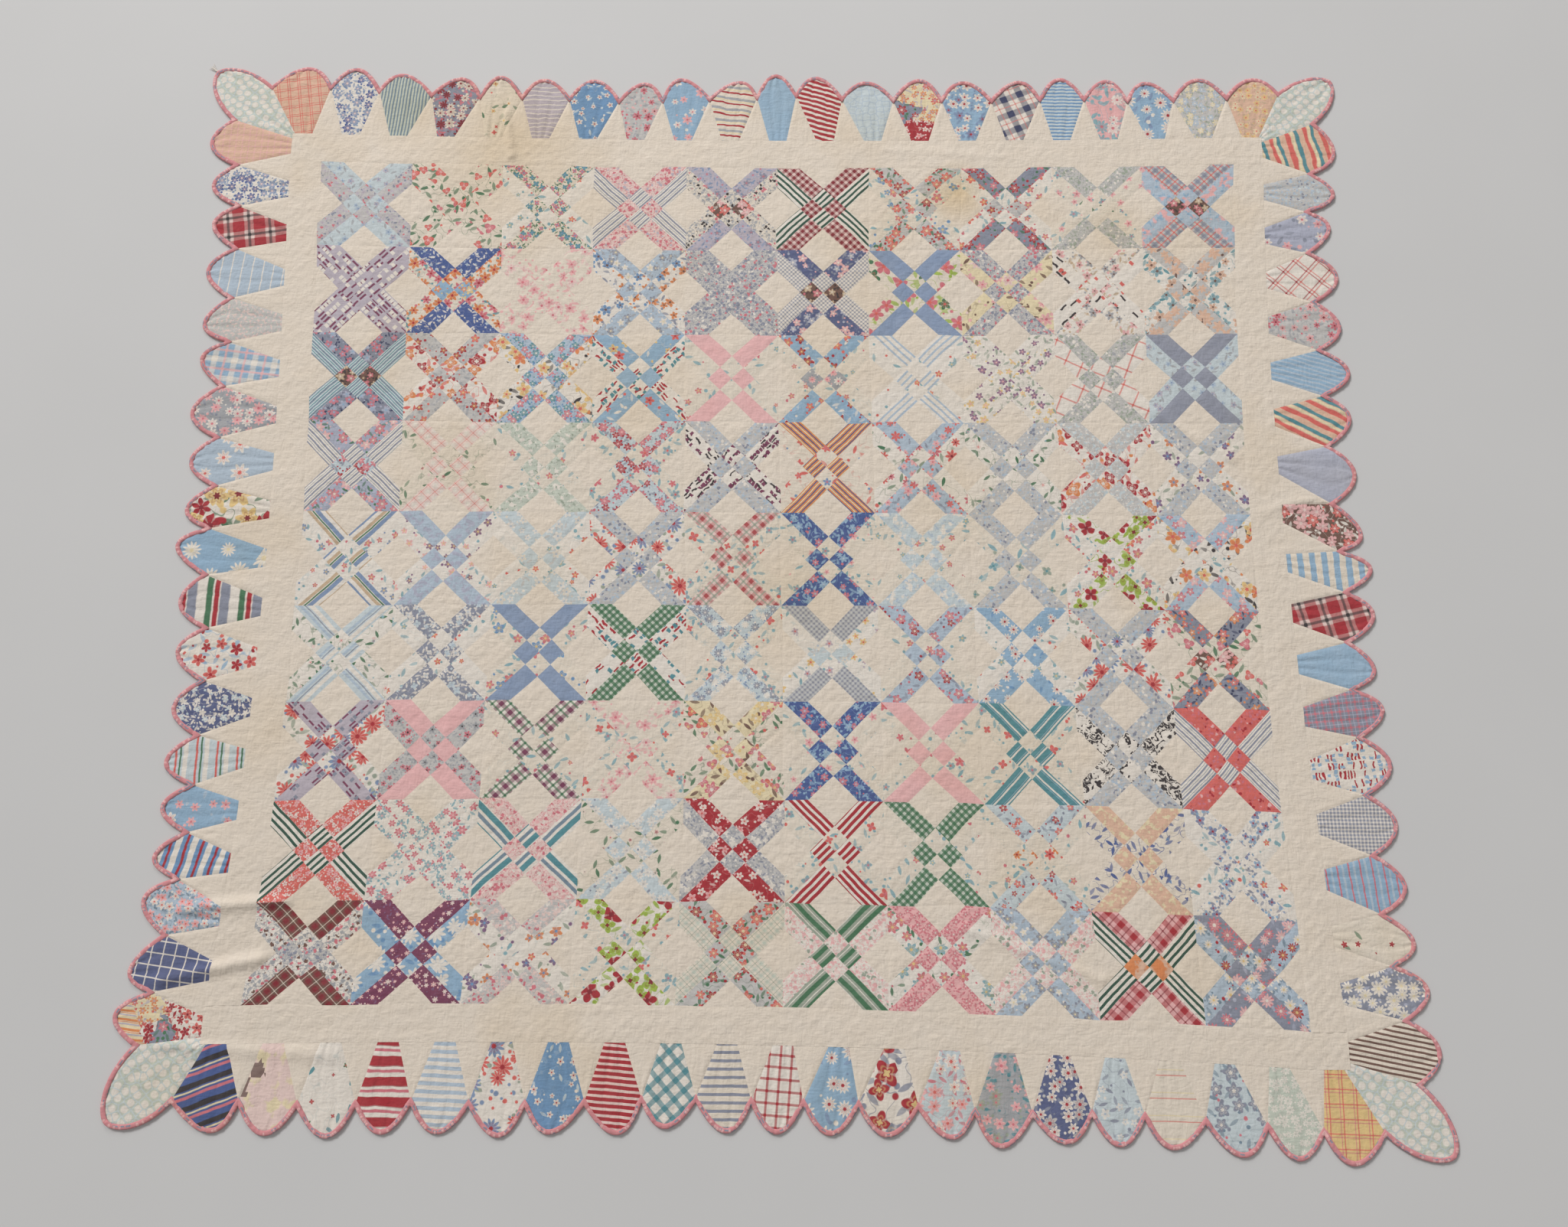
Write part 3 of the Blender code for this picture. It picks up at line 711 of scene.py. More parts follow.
LAY = Lay()
SIDES = {
    "top": Side(21, LAY.base_y, 0.945, 0.037, 1.754, 1.760, (0, 1), (1, 0),
                ((0, 10), (5, 10), (5, 0), (25, -5), (10, 0), (5, -5), (10, -5), (15, -10), (-5, 0),
                 (15, -5), (-5, 10), (-15, 5), (-10, -5), (0, 0), (-5, -5), (10, -5), (0, 0), (0, -5),
                 (-15, -10), (-5, -5), (10, -5))),
    "right": Side(19, LAY.base_x, 1.040, 0.042, 1.574, 1.560, (1, 0), (0, -1),
                  ((0, -5), (0, -10), (-20, -20), (-10, -10), (0, -10), (0, 0), (0, -5), (15, -5),
                   (35, -5), (10, 5), (5, 0), (10, -10), (-10, -5), (-5, -5), (5, -10), (15, -10),
                   (15, -10), (0, 0), (5, 5))),
    "bottom": Side(21, LAY.base_y, 0.945, 0.042, 1.742, 1.760, (0, -1), (-1, 0),
                   ((-10, 10), (-10, 5), (-10, 5), (10, 0), (5, 0), (0, 0), (15, 10), (5, 0), (15, 0),
                    (15, 0), (10, 0), (0, 0), (5, -5), (-10, 5), (5, 5), (-5, 10), (0, 5), (-5, 5),
                    (-10, 10), (-5, 5), (-10, 0))),
    "left": Side(19, LAY.base_x, 1.040, 0.042, 1.574, 1.560, (-1, 0), (0, 1),
                 ((10, 0), (-5, -10), (20, -10), (5, -15), (0, -15), (-10, -10), (-5, -10), (5, -5),
                  (5, 0), (20, 15), (0, 5), (0, 5), (5, 10), (20, 0), (0, 0), (15, 0), (20, -5),
                  (10, 0), (10, 10))),
}
CORNERS = {
    "top_left": Corner((-1, 1), (1.052, 0.945), (0.945, 0.915), (1.015, 0.842)),
    "top_right": Corner((1, 1), (1.040, 0.935), (0.938, 0.910), (1.003, 0.842)),
    "bottom_right": Corner((1, -1), (1.050, 0.942), (0.943, 0.912), (1.010, 0.836)),
    "bottom_left": Corner((-1, -1), (1.036, 0.930), (0.933, 0.902), (1.004, 0.816)),
}
ORDER = (("top", "top_left", "top_right"), ("right", "top_right", "bottom_right"),
         ("bottom", "bottom_right", "bottom_left"), ("left", "bottom_left", "top_left"))
LONG_ENDS = ("top", "bottom")
PETAL_BASE = 0.032            # width of a petal where it leaves the border
EDGE_ARCH = (2.0, 1.0)        # powers of the arch across and along an edge petal
CORNER_ARCH = (1.7, 2.1)
ARCH_STEPS = 48
MITRE_LIMIT = 0.6             # cosine that holds back the mitre of a sharp corner


def arch(start: Vector, tip: Vector, end: Vector, powers: Pair) -> list[Vector]:
    """Plan points of a petal's free end, as a sheared superellipse.

    Args:
        start: the notch before the petal.
        tip: the petal's tip.
        end: the notch after it.
        powers: powers of the superellipse across and along the petal.

    Returns:
        Points from notch through tip to notch.
    """
    middle, half, points = (start + end) / 2, (end - start) / 2, []
    for i in range(ARCH_STEPS + 1):
        angle = math.pi * (i / ARCH_STEPS - 0.5)
        across = math.copysign(abs(math.sin(angle)) ** (2 / powers[0]), angle)
        outward = max(0.0, math.cos(angle)) ** (2 / powers[1])
        points.append(middle + half * across + (tip - middle) * outward)
    return points


@dataclass(frozen=True)
class Petal:
    """One petal in plan: its two base points and the arch of its free end."""

    name: str
    cloth: str
    base: tuple[Vector, Vector]
    arch: list[Vector]
    corner: Vector | None = None


def petals_round() -> list[Petal]:
    """Every petal with its print, clockwise from the far left corner.

    Returns:
        The petals, each corner petal after the side that leads to it.
    """
    ring, half = [], PETAL_BASE / 2
    for number, (name, before, after) in enumerate(ORDER):
        side, on_end, opening, turn = SIDES[name], name in LONG_ENDS, CORNERS[before], CORNERS[after]
        first = opening.at(opening.end_notch if on_end else opening.side_notch)
        last = turn.at(turn.end_notch if on_end else turn.side_notch)
        notches = side.notches(first, last)
        for i, (tip, cloth) in enumerate(zip(side.tips(), PETALS[name].split())):
            along = lerp(-side.base_span / 2, side.base_span / 2, i / (side.count - 1))
            base = (side.point(along - half, side.base), side.point(along + half, side.base))
            free_end = arch(notches[i], tip, notches[i + 1], EDGE_ARCH)
            ring.append(Petal(f"{name}_{i + 1}", cloth, base, free_end))
        leaving = turn.at(turn.side_notch if on_end else turn.end_notch)
        following = SIDES[ORDER[(number + 1) % len(ORDER)][0]]
        base = (ring[-1].base[1], following.point(-following.base_span / 2 - half, following.base))
        free_end = arch(last, turn.at(turn.tip), leaving, CORNER_ARCH)
        ring.append(Petal(after, CORNER_PRINT, base, free_end, turn.at((LAY.base_x, LAY.base_y))))
    return ring


def inset_loop(x: Array, y: Array, distance: float) -> tuple[Array, Array]:
    """A closed clockwise loop moved inwards, with its corners mitred.

    Args:
        x: x of the loop's points.
        y: y of the loop's points.
        distance: how far it moves.

    Returns:
        The moved x and y.
    """
    before_x, before_y = x - np.roll(x, 1), y - np.roll(y, 1)
    after_x, after_y = np.roll(x, -1) - x, np.roll(y, -1) - y
    before, after = np.hypot(before_x, before_y), np.hypot(after_x, after_y)
    normal_x = before_y / before + after_y / after
    normal_y = -before_x / before - after_x / after
    length = np.hypot(normal_x, normal_y)
    normal_x, normal_y = normal_x / length, normal_y / length
    cosine = np.maximum(MITRE_LIMIT, (normal_x * before_y - normal_y * before_x) / before)
    return x + normal_x * distance / cosine, y + normal_y * distance / cosine


# ---- meshes -------------------------------------------------------------------------------------
class ClothMesh:
    """Gathers grids of triangles with cloth coordinates and prints, then becomes one object."""

    def __init__(self) -> None:
        """Start with nothing in it."""
        self.points: list[Array] = []
        self.corners: list[Array] = []
        self.cloth: list[Array] = []
        self.prints: list[Array] = []
        self.names: list[str] = []
        self.count = 0

    def print_index(self, name: str) -> int:
        """Place of a print among this mesh's materials, adding it if it is new."""
        if name not in self.names:
            self.names.append(name)
        return self.names.index(name)

    def add(self, points: Array, triangles: Array, cloth: Array, prints: Array) -> None:
        """Add triangles.

        Args:
            points: world points, one row each.
            triangles: rows of three indices into points.
            cloth: for each triangle's three corners, the place on its cloth in metres.
            prints: material index of each triangle.
        """
        self.points.append(points)
        self.corners.append(triangles + self.count)
        self.cloth.append(cloth)
        self.prints.append(prints)
        self.count += len(points)

    def finish(self, name: str, cottons: "Cottons") -> Piece:
        """Make one smooth shaded object of everything added.

        Args:
            name: the object's name.
            cottons: where its materials come from.

        Returns:
            The object.
        """
        points, corners = np.concatenate(self.points), np.concatenate(self.corners)
        mesh = bpy.data.meshes.new(name)
        mesh.vertices.add(len(points))
        mesh.vertices.foreach_set("co", points.astype(np.float32).ravel())
        mesh.loops.add(corners.size)
        mesh.loops.foreach_set("vertex_index", corners.astype(np.int32).ravel())
        mesh.polygons.add(len(corners))
        mesh.polygons.foreach_set("loop_start", np.arange(0, corners.size, 3, dtype=np.int32))
        mesh.polygons.foreach_set("material_index", np.concatenate(self.prints).astype(np.int32))
        layer = mesh.uv_layers.new(name="cloth")
        layer.uv.foreach_set("vector", np.concatenate(self.cloth).astype(np.float32).ravel())
        for print_name in self.names:
            mesh.materials.append(cottons.material(print_name))
        mesh.update(calc_edges=True)
        mesh.validate()
        mesh.shade_smooth()
        piece = bpy.data.objects.new(name, mesh)
        bpy.context.collection.objects.link(piece)
        return piece


def grid_triangles(across: int, along: int) -> Array:
    """Two triangles for every cell of a grid of points laid row by row, diagonals turning by turns.

    Args:
        across: cells in a row.
        along: rows of cells.

    Returns:
        Rows of three point numbers.
    """
    i, j = np.meshgrid(np.arange(across), np.arange(along))
    a = (j * (across + 1) + i).ravel()
    b, c, d = a + 1, a + across + 2, a + across + 1
    even = ((i + j) % 2 == 0).ravel()[:, None]
    one = np.where(even, np.stack([a, b, c], 1), np.stack([a, b, d], 1))
    two = np.where(even, np.stack([a, c, d], 1), np.stack([b, c, d], 1))
    return np.concatenate([one, two])


def within(places: Array, outline: tuple[Pair, ...]) -> Array:
    """Whether places lie inside a closed outline.

    Args:
        places: rows of x and y.
        outline: its corner points.

    Returns:
        True or false for each place.
    """
    inside = np.zeros(len(places), bool)
    for (ax, ay), (bx, by) in zip(outline, outline[1:] + outline[:1]):
        crosses = (ay > places[:, 1]) != (by > places[:, 1])
        reach = ax + (places[:, 1] - ay) / ((by - ay) or 1.0) * (bx - ax)
        inside ^= crosses & (places[:, 0] < reach)
    return inside


def turned(cloth: Array, degrees: float) -> Array:
    """Cloth places turned so that the print lies at an angle.

    Args:
        cloth: places on the cloth, x and y last.
        degrees: the angle.

    Returns:
        The turned places.
    """
    cosine, sine = math.cos(math.radians(degrees)), math.sin(math.radians(degrees))
    return np.stack([cloth[..., 0] * cosine + cloth[..., 1] * sine,
                     cloth[..., 1] * cosine - cloth[..., 0] * sine], -1)


# ---- finishes -----------------------------------------------------------------------------------
class Wiring:
    """Adds nodes to one tree and links them by name."""

    def __init__(self, tree: Tree) -> None:
        """Wire nodes in the given tree."""
        self.tree = tree

    def add(self, kind: str, inputs: dict[str | int, Value], **settings: object) -> bpy.types.Node:
        """A new node.

        Args:
            kind: the node's type name without its "ShaderNode" prefix.
            inputs: value or socket for each input, by name or by number.
            **settings: properties of the node, set first.

        Returns:
            The node.
        """
        node = self.tree.nodes.new("ShaderNode" + kind)
        for key, value in settings.items():
            setattr(node, key, value)
        for key, value in inputs.items():
            socket = node.inputs[key]
            if isinstance(value, Socket):
                self.tree.links.new(value, socket)
            else:
                socket.default_value = value
        return node

    def math(self, operation: str, *values: Value, clamp: bool = False) -> Socket:
        """Result of a Math node on up to three values."""
        return self.add("Math", dict(enumerate(values)), operation=operation, use_clamp=clamp).outputs[0]

    def plus(self, one: Value, other: Value) -> Socket:
        """Sum of two values."""
        return self.math("ADD", one, other)

    def minus(self, one: Value, other: Value) -> Socket:
        """One value less another."""
        return self.math("SUBTRACT", one, other)

    def times(self, one: Value, other: Value, clamp: bool = False) -> Socket:
        """Product of two values, held between 0 and 1 if clamped."""
        return self.math("MULTIPLY", one, other, clamp=clamp)

    def gap(self, one: Value, other: Value) -> Socket:
        """How far two values are apart, whichever is larger."""
        return self.math("ABSOLUTE", self.minus(one, other))

    def under(self, value: Value, limit: Value) -> Socket:
        """1 where a value is under a limit, else 0."""
        return self.math("LESS_THAN", value, limit)

    def over(self, value: Value, limit: Value) -> Socket:
        """1 where a value is over a limit, else 0."""
        return self.math("GREATER_THAN", value, limit)

    def vector(self, operation: str, *values: Value) -> Socket:
        """Result of a Vector Math node.

        Args:
            operation: the node's operation.
            *values: vectors, or a vector and a scale.

        Returns:
            Its result, a number for a length and otherwise a vector.
        """
        keys = (0, "Scale") if operation == "SCALE" else range(len(values))
        node = self.add("VectorMath", dict(zip(keys, values)), operation=operation)
        return node.outputs["Value" if operation == "LENGTH" else "Vector"]

    def split(self, vector: Socket) -> tuple[Socket, Socket]:
        """X and Y of a vector."""
        outputs = self.add("SeparateXYZ", {0: vector}).outputs
        return outputs["X"], outputs["Y"]

    def mix(self, factor: Value, one: Value, two: Value) -> Socket:
        """Colour between two colours.

        Args:
            factor: how much of the second there is, from 0 to 1.
            one: the first colour.
            two: the second colour.

        Returns:
            The mixed colour.
        """
        node = self.add("Mix", {"Factor": factor}, data_type="RGBA")
        for socket, value in ((node.inputs[6], one), (node.inputs[7], two)):
            if isinstance(value, Socket):
                self.tree.links.new(value, socket)
            else:
                socket.default_value = value
        return node.outputs[2]

    def below(self, value: Value, limit: Value, soft: float) -> Socket:
        """1 where a value is below a limit, with an edge of the given softness."""
        return self.math("DIVIDE", self.minus(limit, value), soft, clamp=True)

    def cells(self, vector: Socket, scale: float, wander: float, **settings: str) -> bpy.types.NodeOutputs:
        """Outputs of a flat Voronoi node."""
        inputs = {"Vector": vector, "Scale": scale, "Randomness": wander}
        return self.add("TexVoronoi", inputs, voronoi_dimensions="2D", **settings).outputs

    def scatter(self, place: Socket, scale: float,
                wander: float) -> tuple[Socket, Socket, tuple[Socket, ...], Socket]:
        """Motifs strewn over the cloth.

        Args:
            place: where on the cloth, in motifs.
            scale: how many of these to one motif.
            wander: how far they stray from even rows, from 0 to 1.

        Returns:
            X and Y from the nearest one's middle, its three chances from 0 to 1, and the distance.
        """
        cell = self.cells(place, scale, wander)
        away = self.vector("SUBTRACT", place, cell["Position"])
        chances = self.add("SeparateColor", {0: cell["Color"]}).outputs
        return (*self.split(away), tuple(chances), self.vector("LENGTH", away))

    def noise(self, vector: Socket, scale: float, detail: float) -> Socket:
        """Noise from 0 to 1."""
        inputs = {"Vector": vector, "Scale": scale, "Detail": detail}
        return self.add("TexNoise", inputs, noise_dimensions="2D").outputs[0]

    def cloud(self, vector: Socket, scale: float) -> Socket:
        """Noise of its own in each of three directions."""
        inputs = {"Vector": vector, "Scale": scale}
        return self.add("TexNoise", inputs, noise_dimensions="2D").outputs["Color"]


def new_group(name: str, colours: list[str], numbers: dict[str, float],
              outputs: tuple[str, ...] = ("Color",)) -> tuple[Tree, Wiring, dict, dict]:
    """An empty shader group with a Vector input, colour inputs and number inputs.

    Args:
        name: the group's name.
        colours: names of its colour inputs.
        numbers: names and defaults of its number inputs.
        outputs: names of its outputs; those named Color or Normal take that type.

    Returns:
        The tree, its wiring, its inner input sockets and its inner output sockets by name.
    """
    tree = bpy.data.node_groups.new(name, "ShaderNodeTree")
    tree.interface.new_socket("Vector", in_out="INPUT", socket_type="NodeSocketVector")
    for colour in colours:
        tree.interface.new_socket(colour, in_out="INPUT", socket_type="NodeSocketColor")
    for number, value in numbers.items():
        socket = tree.interface.new_socket(number, in_out="INPUT", socket_type="NodeSocketFloat")
        socket.default_value = value
    for output in outputs:
        kind = "NodeSocketColor" if output == "Color" else "NodeSocketFloat"
        tree.interface.new_socket(output, in_out="OUTPUT", socket_type=kind)
    given, made = tree.nodes.new("NodeGroupInput"), tree.nodes.new("NodeGroupOutput")
    return tree, Wiring(tree), {s.name: s for s in given.outputs}, {s.name: s for s in made.inputs}


class PrintGroups:
    """The node groups that draw each family of print."""

    WHITE = (1.0, 1.0, 1.0, 1.0)
    SWAY = 0.006                     # metres that a wobble of 1 moves a stripe, either way together
    STRIPE_PLACES = (("First", 0.25), ("Second", 0.72), ("Line", 0.5))
    BAR_PLACE = 0.3
    LINE_COVER = 0.75
    LEAF_SCALE, BUD_SCALE = 1.5, 2.6     # how many leaves and buds there are to one flower, each way
    BAR_LATTICES = (("One", (1.0, 2.6, 1), 0.31), ("Two", (2.3, 1.2, 1), 7.77))

    def build(self) -> dict[Family, Tree]:
        """Every family's group."""
        return {Family.SOLID: self.solid(), Family.STRIPE: self.stripe(), Family.CHECK: self.check(),
                Family.FLORAL: self.floral(), Family.CALICO: self.calico(), Family.PEBBLE: self.pebble(),
                Family.MOTTLED: self.mottled(), Family.BARS: self.bars()}

    def solid(self) -> Tree:
        """Plain cloth with the faint unevenness of home dyeing.

        Returns:
            The group.
        """
        tree, wire, given, made = new_group(Family.SOLID.value, ["Ground"], {})
        cloud = wire.noise(given["Vector"], scale=30, detail=3)
        pale = wire.mix(0.10, given["Ground"], self.WHITE)
        tree.links.new(wire.mix(cloud, given["Ground"], pale), made["Color"])
        return tree

    def stripe(self) -> Tree:
        """Two bands and a fine line in each period, running along X.

        Returns:
            The group.
        """
        tree, wire, given, made = new_group(
            Family.STRIPE.value, ["Ground", "First", "Second", "Line"],
            {"Period": 0.01, "First Width": 0.4, "Second Width": 0.0, "Line Width": 0.0, "Wobble": 0.4})
        across = wire.split(given["Vector"])[1]
        sway = wire.minus(wire.noise(given["Vector"], scale=24, detail=2), 0.5)
        shifted = wire.plus(across, wire.times(wire.times(sway, given["Wobble"]), self.SWAY))
        place = wire.math("FRACT", wire.math("DIVIDE", shifted, given["Period"]))
        colour = given["Ground"]
        for dye, middle in self.STRIPE_PLACES:
            distance = wire.gap(place, middle)
            distance = wire.math("MINIMUM", distance, wire.minus(1.0, distance))
            half = wire.times(given[dye + " Width"], 0.5)
            colour = wire.mix(wire.below(distance, half, soft=0.035), colour, given[dye])
        tree.links.new(colour, made["Color"])
        return tree

    def check(self) -> Tree:
        """Bars and fine lines both ways; where they cross the colour is full.

        Returns:
            The group.
        """
        tree, wire, given, made = new_group(
            Family.CHECK.value, ["Ground", "Bar", "Line"],
            {"Period": 0.01, "Bar Width": 0.5, "Line Width": 0.0, "Overlap": 0.5, "Line Place": 0.8})
        covers = {"Bar": [], "Line": []}
        for axis in wire.split(given["Vector"]):
            place = wire.math("FRACT", wire.math("DIVIDE", axis, given["Period"]))
            for dye, middle in (("Bar", self.BAR_PLACE), ("Line", given["Line Place"])):
                distance = wire.gap(place, middle)
                half = wire.times(given[dye + " Width"], 0.5)
                covers[dye].append(wire.below(distance, half, soft=0.05))
        colour = given["Ground"]
        for dye, strength in (("Bar", given["Overlap"]), ("Line", self.LINE_COVER)):
            both = wire.times(wire.plus(*covers[dye]), strength, clamp=True)
            colour = wire.mix(both, colour, given[dye])
        tree.links.new(colour, made["Color"])
        return tree

    def floral(self) -> Tree:
        """Flowers with eyes, separate leaves and small buds, joined here and there by fine stems.

        Returns:
            The group.
        """
        tree, wire, given, made = new_group(
            Family.FLORAL.value, ["Ground", "One", "Two", "Eye", "Leaf"],
            {"Motifs": 60, "Size": 0.35, "Presence": 0.8, "Petals": 5, "Leaves": 0.5, "Buds": 0.3})
        place = wire.vector("SCALE", given["Vector"], given["Motifs"])
        trail = wire.gap(wire.noise(place, scale=1.0, detail=1), 0.5)
        stems = wire.times(wire.below(trail, 0.014, soft=0.014), given["Leaves"])
        colour = wire.mix(stems, given["Ground"], given["Leaf"])

        x, y, (red, green, blue), _ = wire.scatter(place, scale=self.LEAF_SCALE, wander=0.9)
        angle = wire.times(red, FULL_TURN)
        cosine, sine = wire.math("COSINE", angle), wire.math("SINE", angle)
        run = wire.plus(wire.times(x, cosine), wire.times(y, sine))
        off = wire.gap(wire.times(y, cosine), wire.times(x, sine))
        belly = wire.minus(0.12, wire.times(run, run))
        leaf = wire.times(wire.below(off, belly, soft=0.03), wire.under(green, given["Leaves"]))
        tint = wire.mix(wire.times(blue, 0.4), given["Leaf"], given["Ground"])
        colour = wire.mix(leaf, colour, tint)

        _, _, (red, green, blue), distance = wire.scatter(place, scale=self.BUD_SCALE, wander=1.0)
        reach = wire.plus(wire.times(red, 0.20), 0.20)
        bud = wire.times(wire.below(wire.times(distance, self.BUD_SCALE), reach, soft=0.12),
                         wire.under(green, given["Buds"]))
        dye = wire.mix(wire.over(blue, 0.4), given["Leaf"], given["Two"])
        dye = wire.mix(wire.over(blue, 0.75), dye, given["One"])
        colour = wire.mix(bud, colour, dye)

        x, y, (red, green, blue), distance = wire.scatter(place, scale=1.0, wander=0.72)
        angle = wire.plus(wire.math("ARCTAN2", y, x), wire.times(red, FULL_TURN))
        size = wire.times(given["Size"], wire.plus(wire.times(green, 0.5), 0.75))
        lobes = wire.math("COSINE", wire.times(angle, given["Petals"]))
        rim = wire.times(size, wire.plus(wire.times(lobes, 0.20), 0.84))
        flower = wire.times(wire.below(distance, rim, soft=0.04), wire.under(blue, given["Presence"]))
        dye = wire.mix(wire.over(red, 0.58), given["One"], given["Two"])
        inner = wire.math("DIVIDE", distance, wire.math("MAXIMUM", rim, 0.01))
        furrow = wire.times(wire.below(lobes, -0.55, soft=0.5), wire.over(inner, 0.35))
        shade = wire.mix(wire.times(furrow, 0.45), dye, given["Ground"])
        ring = wire.below(wire.gap(inner, 0.52), 0.13, soft=0.12)
        shade = wire.mix(wire.times(ring, 0.40), shade, given["Eye"])
        colour = wire.mix(flower, colour, shade)
        eye = wire.times(wire.below(inner, 0.32, soft=0.10), flower)
        tree.links.new(wire.mix(eye, colour, given["Eye"]), made["Color"])
        return tree

    def calico(self) -> Tree:
        """Tiny blots in three dyes on fine wandering vines.

        Returns:
            The group.
        """
        tree, wire, given, made = new_group(
            Family.CALICO.value, ["Ground", "One", "Two", "Three"], {"Motifs": 200, "Cover": 0.6})
        place = wire.vector("SCALE", given["Vector"], given["Motifs"])
        bent = wire.vector("ADD", place, wire.vector("SCALE", wire.cloud(place, scale=1.3), 0.9))
        cell = wire.cells(bent, scale=1.0, wander=1.0)
        red, green, blue = wire.add("SeparateColor", {0: cell["Color"]}).outputs
        dye = wire.mix(wire.over(red, 0.62), given["One"], given["Two"])
        dye = wire.mix(wire.over(blue, 0.80), dye, given["Three"])
        reach = wire.times(wire.plus(green, 0.45), 0.42)
        mask = wire.times(wire.below(cell["Distance"], reach, soft=0.12),
                          wire.under(wire.math("FRACT", wire.times(green, 7.3)), given["Cover"]))
        trail = wire.gap(wire.noise(place, scale=0.8, detail=1), 0.5)
        vine = wire.times(wire.below(trail, 0.05, soft=0.03), given["Cover"])
        tree.links.new(wire.mix(mask, wire.mix(vine, given["Ground"], given["One"]), dye), made["Color"])
        return tree

    def pebble(self) -> Tree:
        """Rounded pebbles with a gap between them, each with a ring round its middle.

        Returns:
            The group.
        """
        tree, wire, given, made = new_group(
            Family.PEBBLE.value, ["Gap", "Ring", "Middle"], {"Motifs": 60, "Hollow": 0.5})
        place = wire.vector("SCALE", given["Vector"], given["Motifs"])
        gaps = wire.cells(place, scale=1.0, wander=0.55, feature="DISTANCE_TO_EDGE")["Distance"]
        distance = wire.cells(place, scale=1.0, wander=0.55)["Distance"]
        hollow = wire.below(distance, wire.times(given["Hollow"], 0.5), soft=0.12)
        colour = wire.mix(hollow, given["Ring"], given["Middle"])
        tree.links.new(wire.mix(wire.below(gaps, 0.09, soft=0.08), colour, given["Gap"]), made["Color"])
        return tree

    def mottled(self) -> Tree:
        """Cloudy patches of three dyes.

        Returns:
            The group.
        """
        tree, wire, given, made = new_group(Family.MOTTLED.value, ["Ground", "One", "Two"], {"Motifs": 80})
        place = wire.vector("SCALE", given["Vector"], given["Motifs"])
        first = wire.noise(place, scale=1.0, detail=3)
        second = wire.noise(wire.vector("ADD", place, (17.3, 4.1, 0)), scale=1.6, detail=3)
        colour = wire.mix(wire.below(first, 0.47, soft=0.08), given["Ground"], given["One"])
        tree.links.new(wire.mix(wire.below(second, 0.40, soft=0.06), colour, given["Two"]), made["Color"])
        return tree

    def bars(self) -> Tree:
        """Short bars and dashes, each filling a cell of one of two lattices.

        Returns:
            The group.
        """
        tree, wire, given, made = new_group(
            Family.BARS.value, ["Ground", "One", "Two"], {"Motifs": 90, "Cover": 0.5, "Wobble": 0.0})
        place = wire.vector("SCALE", given["Vector"], given["Motifs"])
        bent = wire.vector("ADD", place, wire.vector("SCALE", wire.cloud(place, scale=1.1), given["Wobble"]))
        colour = given["Ground"]
        for dye, scale, shift in self.BAR_LATTICES:
            moved = wire.vector("ADD", wire.vector("MULTIPLY", bent, scale), (shift, shift, 0))
            cell = wire.vector("FLOOR", moved)
            x, y = wire.split(wire.vector("FRACTION", moved))
            chance = wire.add("TexWhiteNoise", {"Vector": cell}, noise_dimensions="2D").outputs["Value"]
            inside = wire.times(wire.below(wire.gap(x, 0.5), 0.42, soft=0.06),
                                wire.below(wire.gap(y, 0.5), 0.30, soft=0.08))
            mask = wire.times(inside, wire.under(chance, given["Cover"]))
            colour = wire.mix(mask, colour, given[dye])
        tree.links.new(colour, made["Color"])
        return tree


@dataclass(frozen=True)
class Stain:
    """A brown or yellow mark left by age: its middle and radius in world metres, and its strength."""

    middle: Pair
    radius: float
    strength: float


